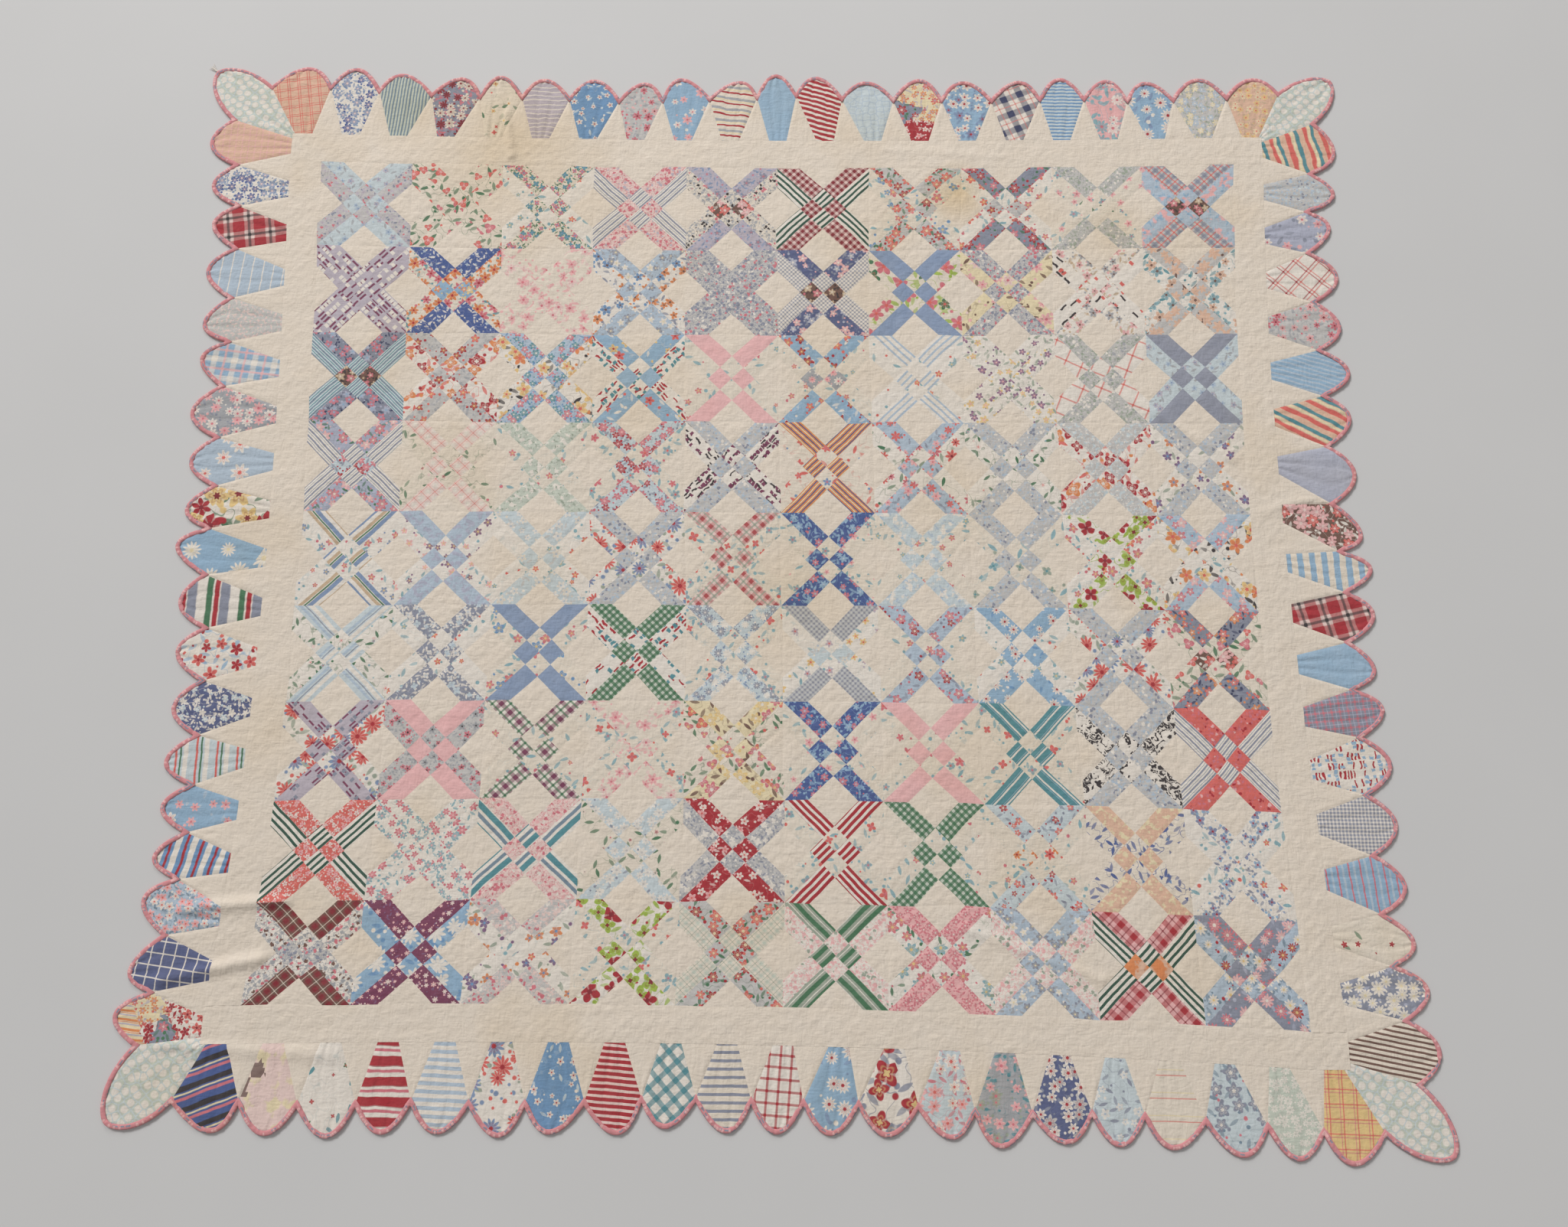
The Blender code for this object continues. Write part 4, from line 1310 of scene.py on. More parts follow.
@dataclass(frozen=True)
class WashedCotton:
    """What years of washing do to every cotton: fading, marks, and a crinkled weave."""

    fade: float = 0.06
    haze: Colour = (0.60, 0.56, 0.51, 1.0)
    mark: Colour = (0.86, 0.74, 0.52, 1.0)
    mottle: float = 0.20       # strength of the faint marks that are everywhere
    crinkle: float = 0.5
    wrinkle: float = 1.3
    wrinkle_run: float = 0.34  # how much a wrinkle is drawn out along its length
    thread: float = 0.0009
    weave: float = 0.05
    relief: float = 0.6
    relief_height: float = 0.0013
    roughness: float = 0.92
    specular: float = 0.2
    sheen: float = 0.06
    stains: tuple[Stain, ...] = (
        Stain((-0.50, 0.80), 0.20, 0.55), Stain((-0.68, 0.86), 0.10, 0.35), Stain((0.33, 0.70), 0.07, 0.9),
        Stain((-0.26, 0.30), 0.14, 0.35), Stain((0.02, -0.06), 0.16, 0.35), Stain((-0.42, -0.02), 0.10, 0.3),
        Stain((0.30, 0.12), 0.12, 0.3), Stain((0.62, 0.62), 0.08, 0.4), Stain((-0.86, -0.30), 0.10, 0.25),
    )

    def build(self) -> Tree:
        """The group: from a place and a clean colour to the worn colour and the weave's height.

        Returns:
            The group.
        """
        tree, wire, given, made = new_group("Washed cotton", ["Clean"], {}, ("Color", "Height"))
        place = given["Vector"]
        marks = wire.times(wire.below(wire.noise(place, scale=4.0, detail=3), 0.44, soft=0.14), self.mottle)
        for stain in self.stains:
            reach = wire.vector("LENGTH", wire.vector("SUBTRACT", wire.vector("MULTIPLY", place, (1, 1, 0)),
                                                      (*stain.middle, 0)))
            ragged = wire.plus(reach, wire.times(wire.noise(place, scale=14, detail=3), stain.radius * 0.5))
            spot = wire.times(wire.below(ragged, stain.radius * 1.3, soft=stain.radius), stain.strength)
            marks = wire.math("MAXIMUM", marks, spot)
        stained = wire.add("Mix", {}, data_type="RGBA", blend_type="MULTIPLY")
        for socket, value in ((stained.inputs[0], marks), (stained.inputs[6], given["Clean"])):
            tree.links.new(value, socket)
        stained.inputs[7].default_value = self.mark
        faded = wire.times(wire.plus(wire.noise(place, scale=38, detail=3), 0.5), self.fade)
        tree.links.new(wire.mix(faded, stained.outputs[2], self.haze), made["Color"])
        fine = wire.times(wire.noise(place, scale=210, detail=2), self.crinkle)
        coarse = 0.0
        for stretch in ((1.0, self.wrinkle_run, 1.0), (self.wrinkle_run, 1.0, 1.0)):
            rise = wire.gap(wire.noise(wire.vector("MULTIPLY", place, stretch), scale=125, detail=1), 0.5)
            coarse = wire.plus(coarse, wire.times(rise, self.wrinkle))
        waves = [wire.math("SINE", wire.times(axis, FULL_TURN / self.thread)) for axis in wire.split(place)]
        weave = wire.times(wire.times(*waves), self.weave)
        tree.links.new(wire.plus(wire.plus(fine, coarse), weave), made["Height"])
        return tree


class Cottons:
    """Hands out one material for each printed cotton."""

    def __init__(self) -> None:
        """Build the shared groups."""
        self.groups = PrintGroups().build()
        self.finish = WashedCotton()
        self.washed = self.finish.build()
        self.made: dict[str, bpy.types.Material] = {}

    def material(self, name: str) -> bpy.types.Material:
        """The material of a print in PRINTS, made when it is first asked for."""
        if name not in self.made:
            self.made[name] = self.dress(name, PRINTS[name])
        return self.made[name]

    def dress(self, name: str, cloth: Print) -> bpy.types.Material:
        """A new material that shows a print on washed cotton.

        Args:
            name: the material's name.
            cloth: the print.

        Returns:
            The material.
        """
        material = bpy.data.materials.new("cotton_" + name)
        material.use_nodes = True
        tree, wire = material.node_tree, Wiring(material.node_tree)
        shader = tree.nodes["Principled BSDF"]
        shader.inputs["Roughness"].default_value = self.finish.roughness
        shader.inputs["Specular IOR Level"].default_value = self.finish.specular
        shader.inputs["Sheen Weight"].default_value = self.finish.sheen
        on_cloth = wire.add("UVMap", {}, uv_map="cloth").outputs[0]
        printed = wire.add("Group", {}, node_tree=self.groups[cloth.family])
        tree.links.new(on_cloth, printed.inputs["Vector"])
        sockets = [s for s in printed.inputs if s.type == "RGBA"]
        for socket, dye in zip(sockets, cloth.dyes.split()):
            socket.default_value = Dye[dye.upper()].linear
        for key, value in cloth.values.items():
            printed.inputs[key].default_value = value
        worn = wire.add("Group", {}, node_tree=self.washed)
        place = wire.add("NewGeometry", {}).outputs["Position"]
        tree.links.new(place, worn.inputs["Vector"])
        tree.links.new(printed.outputs["Color"], worn.inputs["Clean"])
        bump = wire.add("Bump", {"Strength": self.finish.relief, "Distance": self.finish.relief_height,
                                 "Height": worn.outputs["Height"]})
        tree.links.new(worn.outputs["Color"], shader.inputs["Base Color"])
        tree.links.new(bump.outputs[0], shader.inputs["Normal"])
        return material


# ---- pieces of the quilt ------------------------------------------------------------------------
BLOCK_CELLS = 40              # cells of cloth along one block
PATCHES = 16                  # numbers that a block's patches go by
SEED_STEP, PETAL_SEED = 100, 500
PRINT_SHIFT = 9               # metres by which prints are shifted at random, at most
RULED = (Family.STRIPE, Family.CHECK)
RULED_SHIFT = 0.03            # the most that a petal's stripes move sideways
SEAM, QUILTED = 0.0026, 0.0022   # widths of the valleys along a seam and a quilted line
QUILT_STEP = 0.0148           # distance between quilted lines in the border and the wedges
BINDING_PROFILE = ((8.2, 0.2), (4.0, 0.15), (1.0, 0.4), (0.0, 1.6), (0.0, 3.0), (0.6, 4.2), (2.0, 5.0),
                   (4.3, 5.2), (6.5, 4.9), (7.7, 4.3), (8.2, 3.7))   # depth and height in millimetres
BINDING_FLOOR = 0.002         # the binding lifts with the creases above this height only
BACKING_CELLS = (150, 136)
BACKING_RISE, BACKING_SWELL, BACKING_NOISE = 0.0004, 0.0003, Noise((0.016, 0.014), 41)


def off_line(distance: Array, step: float) -> Array:
    """How far places are from the nearest of parallel lines a step apart."""
    return np.abs(distance - np.round(distance / step) * step)


@dataclass
class Patchwork:
    """The pieced field: blocks of two crossed arms, each arm two strips wide, on plain triangles."""

    lay: Lay
    cottons: Cottons
    cells: int = BLOCK_CELLS
    bands: int = 3
    arm: float = 0.25          # half width of an arm, in the block's diagonal units
    quilting: float = 0.125    # step of the quilted crosshatch, in the same units
    quilted_depth: float = 0.50
    seam_depth: float = 0.65
    edge_depth: float = 0.5

    def build(self) -> list[Piece]:
        """The field as bands of rows, joined edge to edge.

        Returns:
            The bands, from the far end.
        """
        pieces = []
        for band in range(self.bands):
            mesh = ClothMesh()
            for row in range(band * self.lay.rows // self.bands, (band + 1) * self.lay.rows // self.bands):
                for column, entry in enumerate(BLOCKS[row].split()):
                    self.add_block(mesh, row, column, entry)
            piece = mesh.finish(f"patchwork_band_{band + 1}", self.cottons)
            settle(piece, ["patchwork_centre"])
            pieces.append(piece)
        return pieces

    def add_block(self, mesh: ClothMesh, row: int, column: int, entry: str) -> None:
        """Add one block.

        Args:
            mesh: where it goes.
            row: its row, from the far end.
            column: its column, from the left.
            entry: its prints, as BLOCKS gives them.
        """
        names = (entry + "/").split("/")[:3]
        steps = np.linspace(0, 1, self.cells + 1)
        u, v = (grid.ravel() for grid in np.meshgrid(steps, steps))
        x = (column + u) * self.lay.block - self.lay.field_x
        y = self.lay.field_y - (row + 1 - v) * self.lay.block
        world = self.lay.place(*self.lay.waver(x, y))
        z = self.lay.height(*world, self.dips(u, v))
        triangles = grid_triangles(self.cells, self.cells)
        rise, fall = u - v, u + v - 1
        rise_mid, fall_mid = rise[triangles].mean(1), fall[triangles].mean(1)
        first_arm, second_arm = np.abs(rise_mid) < self.arm, np.abs(fall_mid) < self.arm
        ends = rise_mid * fall_mid < 0
        middle = np.where(ends, 1, 2 if names[2] else 0)
        chosen = np.where(first_arm & second_arm, middle, np.where(ends, 0, 1))
        chosen = np.where(first_arm | second_arm, chosen, 3)
        patch = first_arm * 8 + second_arm * 4 + (rise_mid > 0) * 2 + (fall_mid > 0)
        metric = self.lay.block / math.sqrt(2)
        along_first = np.stack([fall, -rise], -1)[triangles] * metric
        along_second = np.stack([-rise, -fall], -1)[triangles] * metric
        cloth = np.where((second_arm & ~first_arm)[:, None, None], along_second, along_first)
        offsets = np.random.default_rng(row * SEED_STEP + column).uniform(0, PRINT_SHIFT, (PATCHES, 2))
        index = np.zeros(len(triangles), int)
        for k, name in enumerate((*names, "muslin")):
            if not name:
                continue
            part = chosen == k
            shift = offsets[patch[part]][:, None, :]
            if PRINTS[name].family in RULED:
                shift = shift * (1, 0)
            cloth[part] = turned(cloth[part], PRINTS[name].angle if k < 2 else 0) + shift
            index[part] = mesh.print_index(name)
        mesh.add(np.stack([*world, z], 1), triangles, cloth, index)

    def dips(self, u: Array, v: Array) -> Array:
        """How far seams and quilting draw the cloth down at places in a block.

        Args:
            u: places across the block, from 0 to 1.
            v: places up the block, from 0 to 1.

        Returns:
            One dip for each place, from 0 to 1.
        """
        metric = self.lay.block / math.sqrt(2)
        dip = np.zeros_like(u)
        for d in (u - v, u + v - 1):
            quilted = off_line(d, self.quilting) * metric
            seam = np.minimum(np.abs(d), np.abs(np.abs(d) - self.arm)) * metric
            dip = np.maximum(dip, np.maximum(self.quilted_depth * groove(quilted, QUILTED),
                                             self.seam_depth * groove(seam, SEAM)))
        edge = np.minimum(np.minimum(u, 1 - u), np.minimum(v, 1 - v)) * self.lay.block
        return np.maximum(dip, self.edge_depth * groove(edge, SEAM))


@dataclass
class Borders:
    """The four plain muslin strips round the field."""

    lay: Lay
    cottons: Cottons
    across: int = 14
    allowance: float = 0.006
    allowance_width: float = 0.002
    field_depth: float = 0.5
    petal_depth: float = 0.3
    quilted_depth: float = 0.45

    def build(self) -> list[Piece]:
        """One strip for each side, the long ends running right across.

        Returns:
            The strips.
        """
        lay, pieces = self.lay, []
        for name in ("top", "right", "bottom", "left"):
            side, on_end = SIDES[name], name in LONG_ENDS
            half, blocks = (lay.field_x, lay.columns) if on_end else (lay.field_y, lay.rows)
            stations = np.linspace(-half, half, blocks * BLOCK_CELLS + 1)
            if on_end:
                stations = np.concatenate([np.linspace(-lay.base_x, -half, self.across + 1)[:-1], stations,
                                           np.linspace(half, lay.base_x, self.across + 1)[1:]])
            out = np.linspace(side.base - lay.border, side.base, self.across + 1)
            s, o = (grid.ravel() for grid in np.meshgrid(stations, out))
            x = side.along[0] * s + side.across[0] * o
            y = side.along[1] * s + side.across[1] * o
            depth = o - out[0]
            dip = np.maximum(self.field_depth * groove(depth, SEAM),
                             self.petal_depth * groove(lay.border - depth, SEAM))
            dip = np.maximum(dip, self.petal_depth * groove(depth - self.allowance, self.allowance_width))
            for d in ((x + y) / math.sqrt(2), (y - x) / math.sqrt(2)):
                dip = np.maximum(dip, self.quilted_depth * groove(off_line(d, QUILT_STEP), QUILTED))
            world = lay.place(*lay.waver(x, y))
            points = np.stack([*world, lay.height(*world, dip)], 1)
            triangles = grid_triangles(len(stations) - 1, self.across)
            mesh = ClothMesh()
            index = np.full(len(triangles), mesh.print_index("muslin"))
            mesh.add(points, triangles, np.stack([x, y], 1)[triangles], index)
            piece = mesh.finish("border_strip_" + name, self.cottons)
            settle(piece, ["border_" + name])
            pieces.append(piece)
        return pieces


@dataclass(frozen=True)
class PetalCloth:
    """How the cloth of one petal lies: the middle of its base, its axes and the shift of its print."""

    mouth: Array
    axes: Array
    shift: Array

    def local(self, places: Array) -> Array:
        """World places as distances across and out from the middle of the base."""
        return (places - self.mouth) @ self.axes.T

    def cloth(self, places: Array, name: str) -> Array:
        """Cloth places of world places, for a print by name."""
        return turned(self.local(places), PRINTS[name].angle) + self.shift


def as_laid(places: Array, _name: str) -> Array:
    """Cloth places of plain cloth that lies square to the room: the world places."""
    return places


def spanned(left: Array, right: Array, shares: Array) -> Array:
    """Lines of places from left ends to right ends, at shares of the way across."""
    return left[:, None, :] * (1 - shares)[None, :, None] + right[:, None, :] * shares[None, :, None]


@dataclass
class ScallopedEdge:
    """The ring of petals, the plain wedges between them and the bias binding round them."""

    lay: Lay
    cottons: Cottons
    across: int = 18
    flank: int = 12
    tuck: float = 0.004            # how far the petals' cloth stops short of the outline
    seam_depth: float = 0.7
    base_depth: float = 0.4
    inner_depth: float = 0.95      # of the two quilted lines down a petal
    inner_width: float = 0.0028
    wedge_depth: float = 0.5
    wedge_width: float = 0.0024
    row_cut: Pair = (0.1, 0.16)       # spare length and depth of a row's flat cut
    corner_cut: Pair = (0.17, 0.13)
    gather_depth: float = 0.0007
    gather: Noise = Noise((0.0042, 0.05), 31)

    def __post_init__(self) -> None:
        """Lay the petals and the outline out once for everything that needs them."""
        self.petals = petals_round()
        points = np.array([tuple(p) for petal in self.petals for p in petal.arch[:-1]])
        self.outline = self.lay.place(points[:, 0], points[:, 1])
        self.rim = np.stack(inset_loop(*self.outline, self.tuck), 1)

    def placed(self, point: Vector) -> Array:
        """World place of one plan point."""
        return np.array([float(v) for v in self.lay.place(np.array(point.x), np.array(point.y))])

    def build(self) -> list[Piece]:
        """The four rows of petals with their wedges, and the four corner petals.

        Returns:
            The rows, then the corner petals.
        """
        pieces = []
        for side in SIDES:
            mesh = ClothMesh()
            for k, petal in enumerate(self.petals):
                if petal.corner is None and petal.name.startswith(side):
                    self.add_petal(mesh, k)
                    if self.petals[k + 1].corner is None:
                        self.add_wedge(mesh, k)
            size = (SIDES[side].tip_span + self.row_cut[0], self.row_cut[1])
            names = "petal_row_" + side, "petal_edge_" + side, "petal_prints"
            pieces.append(self.settle_ring(mesh, *names, size))
        for k, petal in enumerate(self.petals):
            if petal.corner is not None:
                mesh = ClothMesh()
                self.add_petal(mesh, k)
                names = "petal_" + petal.name, "corner_petal_" + petal.name, "pebble_print"
                pieces.append(self.settle_ring(mesh, *names, self.corner_cut))
        return pieces

    def settle_ring(self, mesh: ClothMesh, name: str, node: str, slot: str,
                    size: Pair) -> Piece:
        """Args:
            mesh: its cloth.
            name: its name.
            node: the CAD node that it stands for.
            slot: not used.
            size: not used.

        Returns:
            The piece.
        """
        piece = mesh.finish(name, self.cottons)
        settle(piece, [node])
        return piece

    def rows(self, k: int) -> tuple[Array, Array, Array]:
        """Lines of cloth across petal number k.

        Args:
            k: the petal's number.

        Returns:
            Left ends, right ends and, for each line, its place up the flank from 0 to 1, or 2 above it.
        """
        petal, steps = self.petals[k], ARCH_STEPS
        top = steps // 2
        rim = self.rim[(k * steps + np.arange(steps + 1)) % len(self.rim)]
        t = np.linspace(0, 1, self.flank + 1)[:, None]
        starts = self.placed(petal.base[0]), self.placed(petal.base[1])
        left = np.concatenate([starts[0] * (1 - t) + rim[0] * t, rim[1:top + 1]])
        right = np.concatenate([starts[1] * (1 - t) + rim[-1] * t, rim[steps - 1:top - 1:-1]])
        return left, right, np.concatenate([t[:, 0], np.full(top, 2.0)])

    def add_petal(self, mesh: ClothMesh, k: int) -> None:
        """Add the cloth of one petal, with any scraps that it is pieced from.

        Args:
            mesh: where it goes.
            k: the petal's number.
        """
        petal = self.petals[k]
        left, right, flank = self.rows(k)
        s = np.linspace(0, 1, self.across + 1)
        grid = spanned(left, right, s)
        if petal.corner is not None:
            kink = self.placed(petal.corner) - (left[0] + right[0]) / 2
            fall = np.clip(1 - flank, 0, 1)[:, None, None] * (1 - np.abs(2 * s - 1))[None, :, None]
            grid = grid + kink * fall
        lie = self.petal_cloth(k, left[-1])
        width = np.linalg.norm(right - left, axis=1)[:, None]
        edge = np.minimum(s, 1 - s)[None, :] * width
        inner = groove(np.minimum(np.abs(s - 1 / 3), np.abs(s - 2 / 3))[None, :] * width, self.inner_width)
        dip = np.maximum(self.seam_depth * groove(edge, SEAM), self.inner_depth * inner)
        base = np.cumsum(np.concatenate([[0], np.linalg.norm(np.diff(left + right, axis=0) / 2, axis=1)]))
        dip = np.maximum(dip, self.base_depth * groove(base, SEAM)[:, None])
        self.add_grid(mesh, grid, dip, lie.cloth, petal.cloth)
        if petal.cloth == "muslin":
            return
        reach = float(np.linalg.norm(left[-1] - lie.mouth))
        for cloth, outline in SCRAPS.get(petal.name, ()):
            points = mesh.points[-1][:, :2]
            corners = mesh.corners[-1] - mesh.count + len(points)
            local = lie.local(points[corners].mean(1)) / (float(width.max()) / 2, reach)
            part = within(local, outline)
            mesh.cloth[-1][part] = lie.cloth(points, cloth)[corners[part]]
            mesh.prints[-1][part] = mesh.print_index(cloth)

    def petal_cloth(self, k: int, tip: Array) -> PetalCloth:
        """How the cloth of one petal lies.

        Args:
            k: the petal's number.
            tip: world place of its tip.

        Returns:
            The lie of its cloth.
        """
        petal = self.petals[k]
        mouth = (self.placed(petal.base[0]) + self.placed(petal.base[1])) / 2
        out = tip - mouth
        out = out / np.linalg.norm(out)
        shift = np.random.default_rng(k + PETAL_SEED).uniform(0, PRINT_SHIFT, 2)
        if PRINTS[petal.cloth].family in RULED:
            shift = np.array([shift[0], shift[1] % RULED_SHIFT])
        return PetalCloth(mouth, np.array([[out[1], -out[0]], out]), shift)

    def add_wedge(self, mesh: ClothMesh, k: int) -> None:
        """Add the plain wedge between petals k and k + 1.

        Args:
            mesh: where it goes.
            k: the number of the petal before it.
        """
        a, b = self.placed(self.petals[k].base[1]), self.placed(self.petals[k + 1].base[0])
        notch = self.rim[((k + 1) * ARCH_STEPS) % len(self.rim)]
        t, s = np.linspace(0, 1, self.flank + 1)[:, None], np.linspace(0, 1, self.across - 3)
        left, right = a * (1 - t) + notch * t, b * (1 - t) + notch * t
        width = np.linalg.norm(right - left, axis=1)[:, None]
        edge = np.minimum(s, 1 - s)[None, :] * width
        base = t * np.linalg.norm((a + b) / 2 - notch)
        dip = np.maximum(self.seam_depth * groove(edge, SEAM),
                         self.wedge_depth * groove(off_line(base, QUILT_STEP), self.wedge_width))
        dip = np.maximum(dip, self.base_depth * groove(base, SEAM))
        self.add_grid(mesh, spanned(left, right, s), dip, as_laid, "muslin")

    def add_grid(self, mesh: ClothMesh, grid: Array, dip: Array, cloth_of: Callable[[Array, str], Array],
                 name: str) -> None:
        """Add a grid whose last line is drawn to one point.

        Args:
            mesh: where it goes.
            grid: world x and y, line by line.
            dip: how far the cloth is drawn down at each point.
            cloth_of: gives cloth places for world places and a print.
            name: the print.
        """
        lines, count = grid.shape[:2]
        flat = grid.reshape(-1, 2)
        z = self.lay.height(flat[:, 0], flat[:, 1], dip.ravel())
        triangles = np.minimum(grid_triangles(count - 1, lines - 1), (lines - 1) * count)
        whole = (triangles[:, 0] != triangles[:, 1]) & (triangles[:, 1] != triangles[:, 2])
        triangles = triangles[whole & (triangles[:, 0] != triangles[:, 2])]
        index = np.full(len(triangles), mesh.print_index(name))
        mesh.add(np.column_stack([flat, z]), triangles, cloth_of(flat, name)[triangles], index)

    def build_binding(self) -> Piece:
        """The bias binding: folded over the outline, puckered where it turns.

        Returns:
            The binding.
        """
        profile = np.array(BINDING_PROFILE) / MM_PER_M
        x, y = self.outline
        count, sections = len(x), len(profile)
        length = np.concatenate([[0], np.cumsum(np.hypot(np.roll(x, -1) - x, np.roll(y, -1) - y))])
        across = np.concatenate([[0], np.cumsum(np.hypot(*np.diff(profile, axis=0).T))])
        rings = [self.binding_ring(length[:-1], depth, height) for depth, height in profile]
        points = np.stack(rings, 1).reshape(-1, 3)
        station = np.arange(count)[:, None]
        ring = np.arange(sections - 1)[None, :]
        a, b = (station * sections + ring).ravel(), ((station + 1) % count * sections + ring).ravel()
        triangles = np.concatenate([np.stack([a, b, b + 1], 1), np.stack([a, b + 1, a + 1], 1)])
        start, end = np.repeat(length[:-1], sections - 1), np.repeat(length[1:], sections - 1)
        low, high = np.tile(across[:-1], count), np.tile(across[1:], count)
        quad = [np.stack(corner, 1) for corner in ((start, low), (end, low), (end, high), (start, high))]
        cloth = np.concatenate([np.stack(quad[:3], 1), np.stack([quad[0], quad[2], quad[3]], 1)])
        mesh = ClothMesh()
        mesh.add(points, triangles, cloth, np.full(len(triangles), mesh.print_index("bindingpink")))
        piece = mesh.finish("bias_binding", self.cottons)
        settle(piece, ["binding"])
        return piece

    def binding_ring(self, length: Array, depth: float, height: float) -> Array:
        """One line of the binding, right round the quilt.

        Args:
            length: distance round the outline of each station.
            depth: how far inside the outline the line lies.
            height: its height above the floor where the cloth is flat.

        Returns:
            World points, one for each station.
        """
        x, y = inset_loop(*self.outline, depth)
        lift = self.lay.lift(x, y) * (height > BINDING_FLOOR)
        gather = self.gather.at(length, np.full(len(x), depth * 3)) * self.gather_depth
        return np.stack([x, y, height + lift + gather * min(1, height / self.lay.thickness)], 1)

    def build_backing(self) -> Piece:
        """The plain muslin underside, a coarser copy of the top that lies on the floor.

        Returns:
            The backing.
        """
        lay, mesh = self.lay, ClothMesh()
        coarse = ScallopedEdge(lay, self.cottons, across=6, flank=3)
        coarse.petals = [replace(petal, cloth="muslin") for petal in coarse.petals]
        for k, petal in enumerate(coarse.petals):
            coarse.add_petal(mesh, k)
            if not (petal.corner or coarse.petals[(k + 1) % len(coarse.petals)].corner):
                coarse.add_wedge(mesh, k)
        columns, rows = BACKING_CELLS
        x, y = (grid.ravel() for grid in np.meshgrid(np.linspace(-lay.base_x, lay.base_x, columns + 1),
                                                     np.linspace(-lay.base_y, lay.base_y, rows + 1)))
        triangles = grid_triangles(columns, rows)
        mesh.add(np.stack([*lay.place(x, y), 0 * x], 1), triangles, np.stack([x, y], 1)[triangles],
                 np.full(len(triangles), mesh.print_index("muslin")))
        for points in mesh.points:
            points[:, 2] = BACKING_RISE + BACKING_SWELL * BACKING_NOISE.at(points[:, 0], points[:, 1])
        mesh.corners = [corners[:, ::-1] for corners in mesh.corners]
        mesh.cloth = [cloth[:, ::-1] for cloth in mesh.cloth]
        piece = mesh.finish("muslin_backing", self.cottons)
        settle(piece, [])
        return piece


def settle(piece: Piece, nodes: list[str]) -> None:
    """Args:
        piece: the piece.
        nodes: CAD nodes that it stands for.
    """
    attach(piece, "root")
    if nodes:
        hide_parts(*nodes)
    log.info("%s: %d faces", piece.name, len(piece.data.polygons))


@dataclass
class ThreadTuft:
    """The frayed end of thread at the far left tip."""

    cottons: Cottons
    strands: int = 9
    heading: Pair = (-1.0, 0.8)
    reach: float = 0.022
    spread: float = 0.42
    radius: float = 0.00055
    taper: float = 0.6
    height: float = 0.0022
    droop: float = 0.0012
    sides: int = 6
    joints: int = 9
    seed: int = 8

    def build(self, tip: Array) -> Piece:
        """Fine strands that leave one point and fan out, as one mesh.

        Args:
            tip: world x and y where they start.

        Returns:
            The tuft.
        """
        rng, mesh = np.random.default_rng(self.seed), ClothMesh()
        heading = math.atan2(self.heading[1], self.heading[0])
        for strand in range(self.strands):
            angle = heading + self.spread * (strand / (self.strands - 1) - 0.5) + rng.uniform(-0.08, 0.08)
            reach, curl = self.reach * rng.uniform(0.72, 1.0), rng.uniform(-0.5, 0.5)
            t = np.linspace(0, 1, self.joints)
            x = tip[0] + np.cos(angle + curl * t) * reach * t
            y = tip[1] + np.sin(angle + curl * t) * reach * t
            z = self.height - self.droop * t + self.droop * rng.uniform(0, 1) * np.sin(t * 3)
            sideways = np.stack([-np.sin(angle + curl * t), np.cos(angle + curl * t), 0 * t], 1)
            self.add_strand(mesh, np.stack([x, y, z], 1), sideways, self.radius * (1 - self.taper * t))
        tuft = mesh.finish("frayed_thread", self.cottons)
        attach(tuft, "root")
        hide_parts("corner_thread")
        log.info("%s: %d faces", tuft.name, len(tuft.data.polygons))
        return tuft

    def add_strand(self, mesh: ClothMesh, path: Array, sideways: Array, thick: Array) -> None:
        """Add one strand, a tapering tube.

        Args:
            mesh: where it goes.
            path: points down its middle.
            sideways: level direction across it at each point.
            thick: its radius at each point.
        """
        turn = np.linspace(0, FULL_TURN, self.sides, endpoint=False)
        ring = (np.cos(turn)[None, :, None] * sideways[:, None, :]
                + np.sin(turn)[None, :, None] * np.array([0, 0, 1.0])) * thick[:, None, None]
        points = (path[:, None, :] + ring).reshape(-1, 3)
        row, side = np.arange(self.joints - 1)[:, None] * self.sides, np.arange(self.sides)[None, :]
        a, b = (row + side).ravel(), (row + (side + 1) % self.sides).ravel()
        triangles = np.concatenate([np.stack([a, b, b + self.sides], 1),
                                    np.stack([a, b + self.sides, a + self.sides], 1)])
        index = np.full(len(triangles), mesh.print_index("threadwhite"))
        mesh.add(points, triangles, points[:, :2][triangles], index)


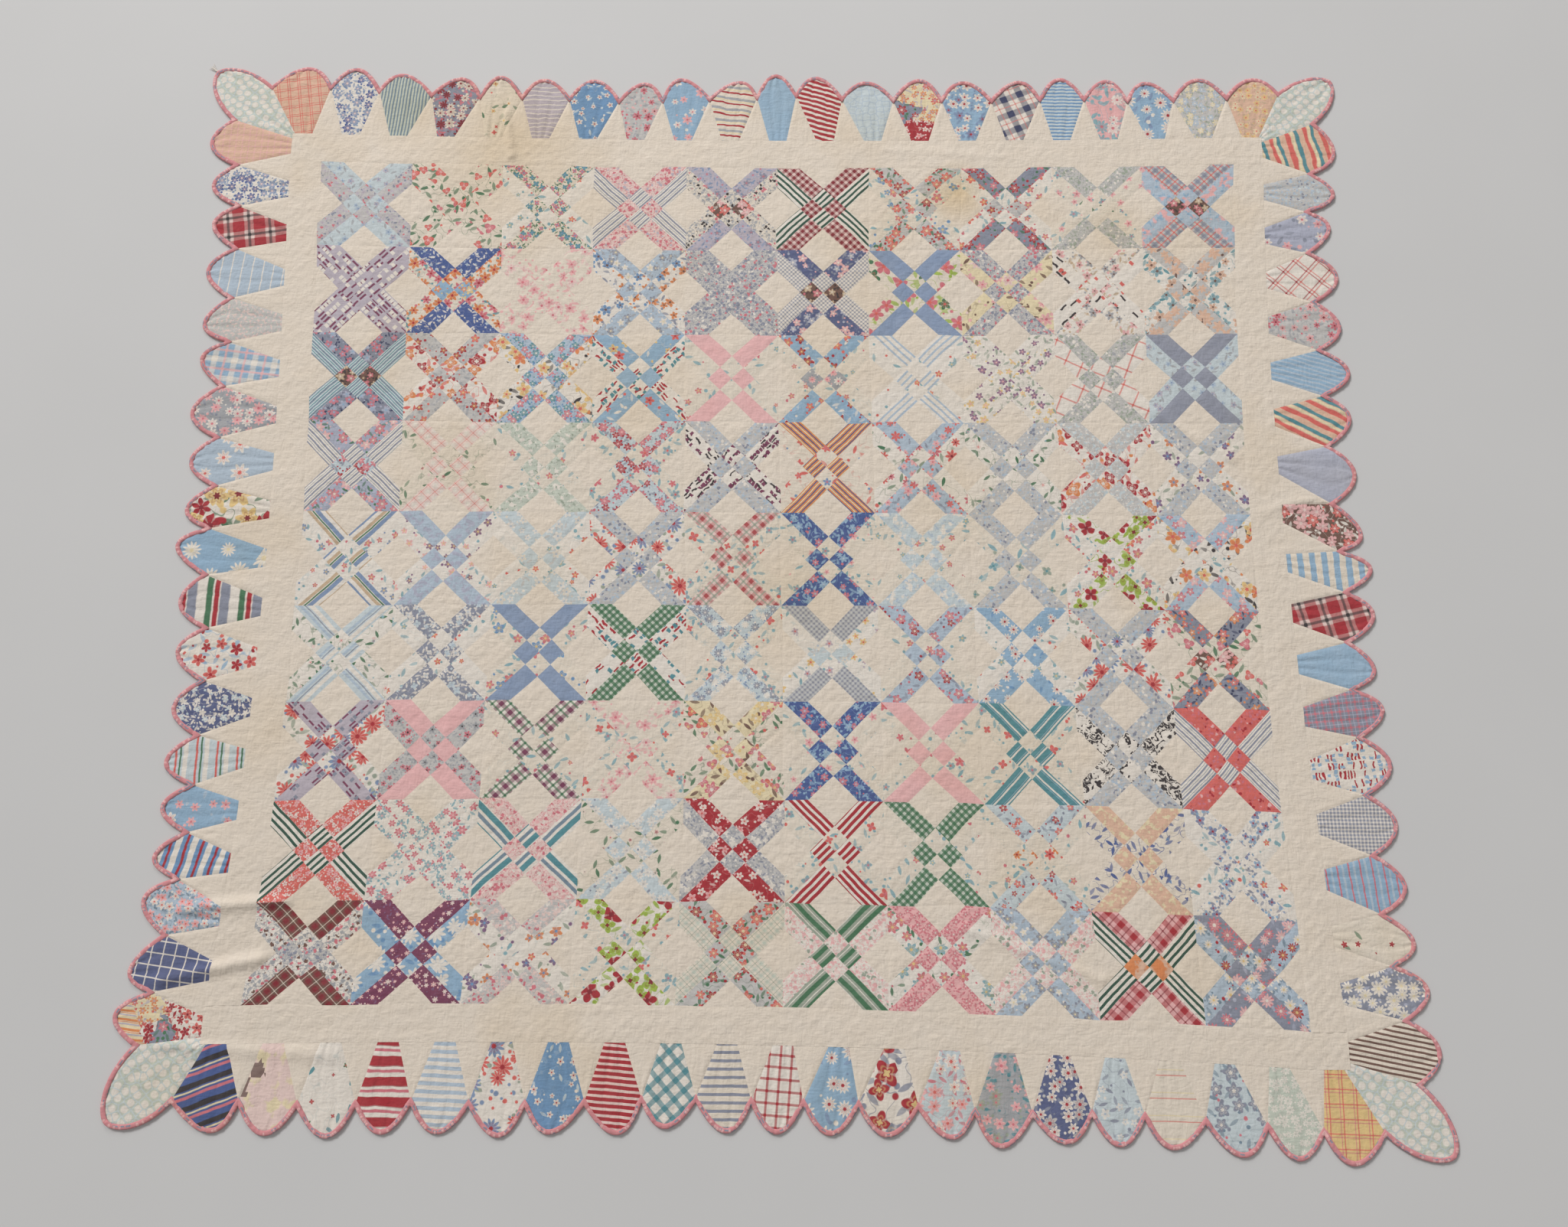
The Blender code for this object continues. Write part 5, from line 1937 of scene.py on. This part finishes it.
# ---- room ---------------------------------------------------------------------------------------
@dataclass
class Studio:
    """Pale floor, soft daylight from the far end, and the camera above the near end."""

    floor_half: float = 6.0
    floor_colour: Triple = (0.62, 0.61, 0.60)
    floor_mottle: float = 0.96
    floor_roughness: float = 0.9
    sky_strength: float = 0.36
    window: Triple = (-2.4, 3.4, 2.9)
    window_power: float = 1.95
    window_spread: float = 16.0
    box: Triple = (-1.0, 4.0, 2.6)
    box_size: float = 2.0
    box_power: float = 60.0
    lens: float = 26.4
    sensor: float = 36.0
    eye: Triple = (0.0008, -0.513, 1.929)
    turn: Triple = (12.11, -0.28, 0.07)

    def build(self) -> None:
        """Put up everything that isn't the quilt."""
        self.floor()
        self.light()
        self.camera()

    def floor(self) -> None:
        """A wide plain floor with a faint mottle."""
        mesh = bpy.data.meshes.new("floor")
        half = self.floor_half
        mesh.from_pydata([(-half, -half, 0), (half, -half, 0), (half, half, 0), (-half, half, 0)], [],
                         [(0, 1, 2, 3)])
        floor = bpy.data.objects.new("floor", mesh)
        bpy.context.collection.objects.link(floor)
        material = bpy.data.materials.new("pale_floor")
        material.use_nodes = True
        wire = Wiring(material.node_tree)
        place = wire.add("NewGeometry", {}).outputs["Position"]
        darker = (*[self.floor_mottle * c for c in self.floor_colour], 1.0)
        tint = wire.mix(wire.noise(place, scale=3, detail=4), (*self.floor_colour, 1.0), darker)
        shader = material.node_tree.nodes["Principled BSDF"]
        shader.inputs["Roughness"].default_value = self.floor_roughness
        material.node_tree.links.new(tint, shader.inputs["Base Color"])
        mesh.materials.append(material)

    def light(self) -> None:
        """Window light from the far left, a softbox at the far end and an even sky."""
        world = bpy.data.worlds.new("soft_sky")
        world.use_nodes = True
        background = world.node_tree.nodes["Background"]
        background.inputs["Color"].default_value = (1.0, 1.0, 1.0, 1.0)
        background.inputs["Strength"].default_value = self.sky_strength
        bpy.context.scene.world = world
        sun = bpy.data.lights.new("window_light", "SUN")
        sun.energy, sun.angle = self.window_power, math.radians(self.window_spread)
        box = bpy.data.lights.new("far_softbox", "AREA")
        box.shape, box.size, box.energy = "DISK", self.box_size, self.box_power
        for lamp, place in ((sun, self.window), (box, self.box)):
            holder = bpy.data.objects.new(lamp.name, lamp)
            holder.location = place
            holder.rotation_euler = (-Vector(place)).to_track_quat("-Z", "Y").to_euler()
            bpy.context.collection.objects.link(holder)

    def camera(self) -> None:
        """The camera, looking down and a little away from the near end."""
        lens = bpy.data.cameras.new("camera")
        lens.lens, lens.sensor_width = self.lens, self.sensor
        eye = bpy.data.objects.new("camera", lens)
        eye.location = self.eye
        eye.rotation_euler = tuple(math.radians(angle) for angle in self.turn)
        bpy.context.collection.objects.link(eye)
        scene = bpy.context.scene
        scene.camera = eye
        scene.view_settings.view_transform = "Standard"


def main() -> None:
    """Build the quilt and its room."""
    cottons = Cottons()
    Studio().build()
    Patchwork(LAY, cottons).build()
    Borders(LAY, cottons).build()
    edge = ScallopedEdge(LAY, cottons)
    edge.build()
    edge.build_binding()
    edge.build_backing()
    corner = next(k for k, petal in enumerate(edge.petals) if petal.name == "top_left")
    tip = corner * ARCH_STEPS + ARCH_STEPS // 2
    ThreadTuft(cottons).build(np.array([edge.outline[0][tip], edge.outline[1][tip]]))


if __name__ == "__main__":
    logging.basicConfig(level=logging.INFO, format="%(message)s")
    main()
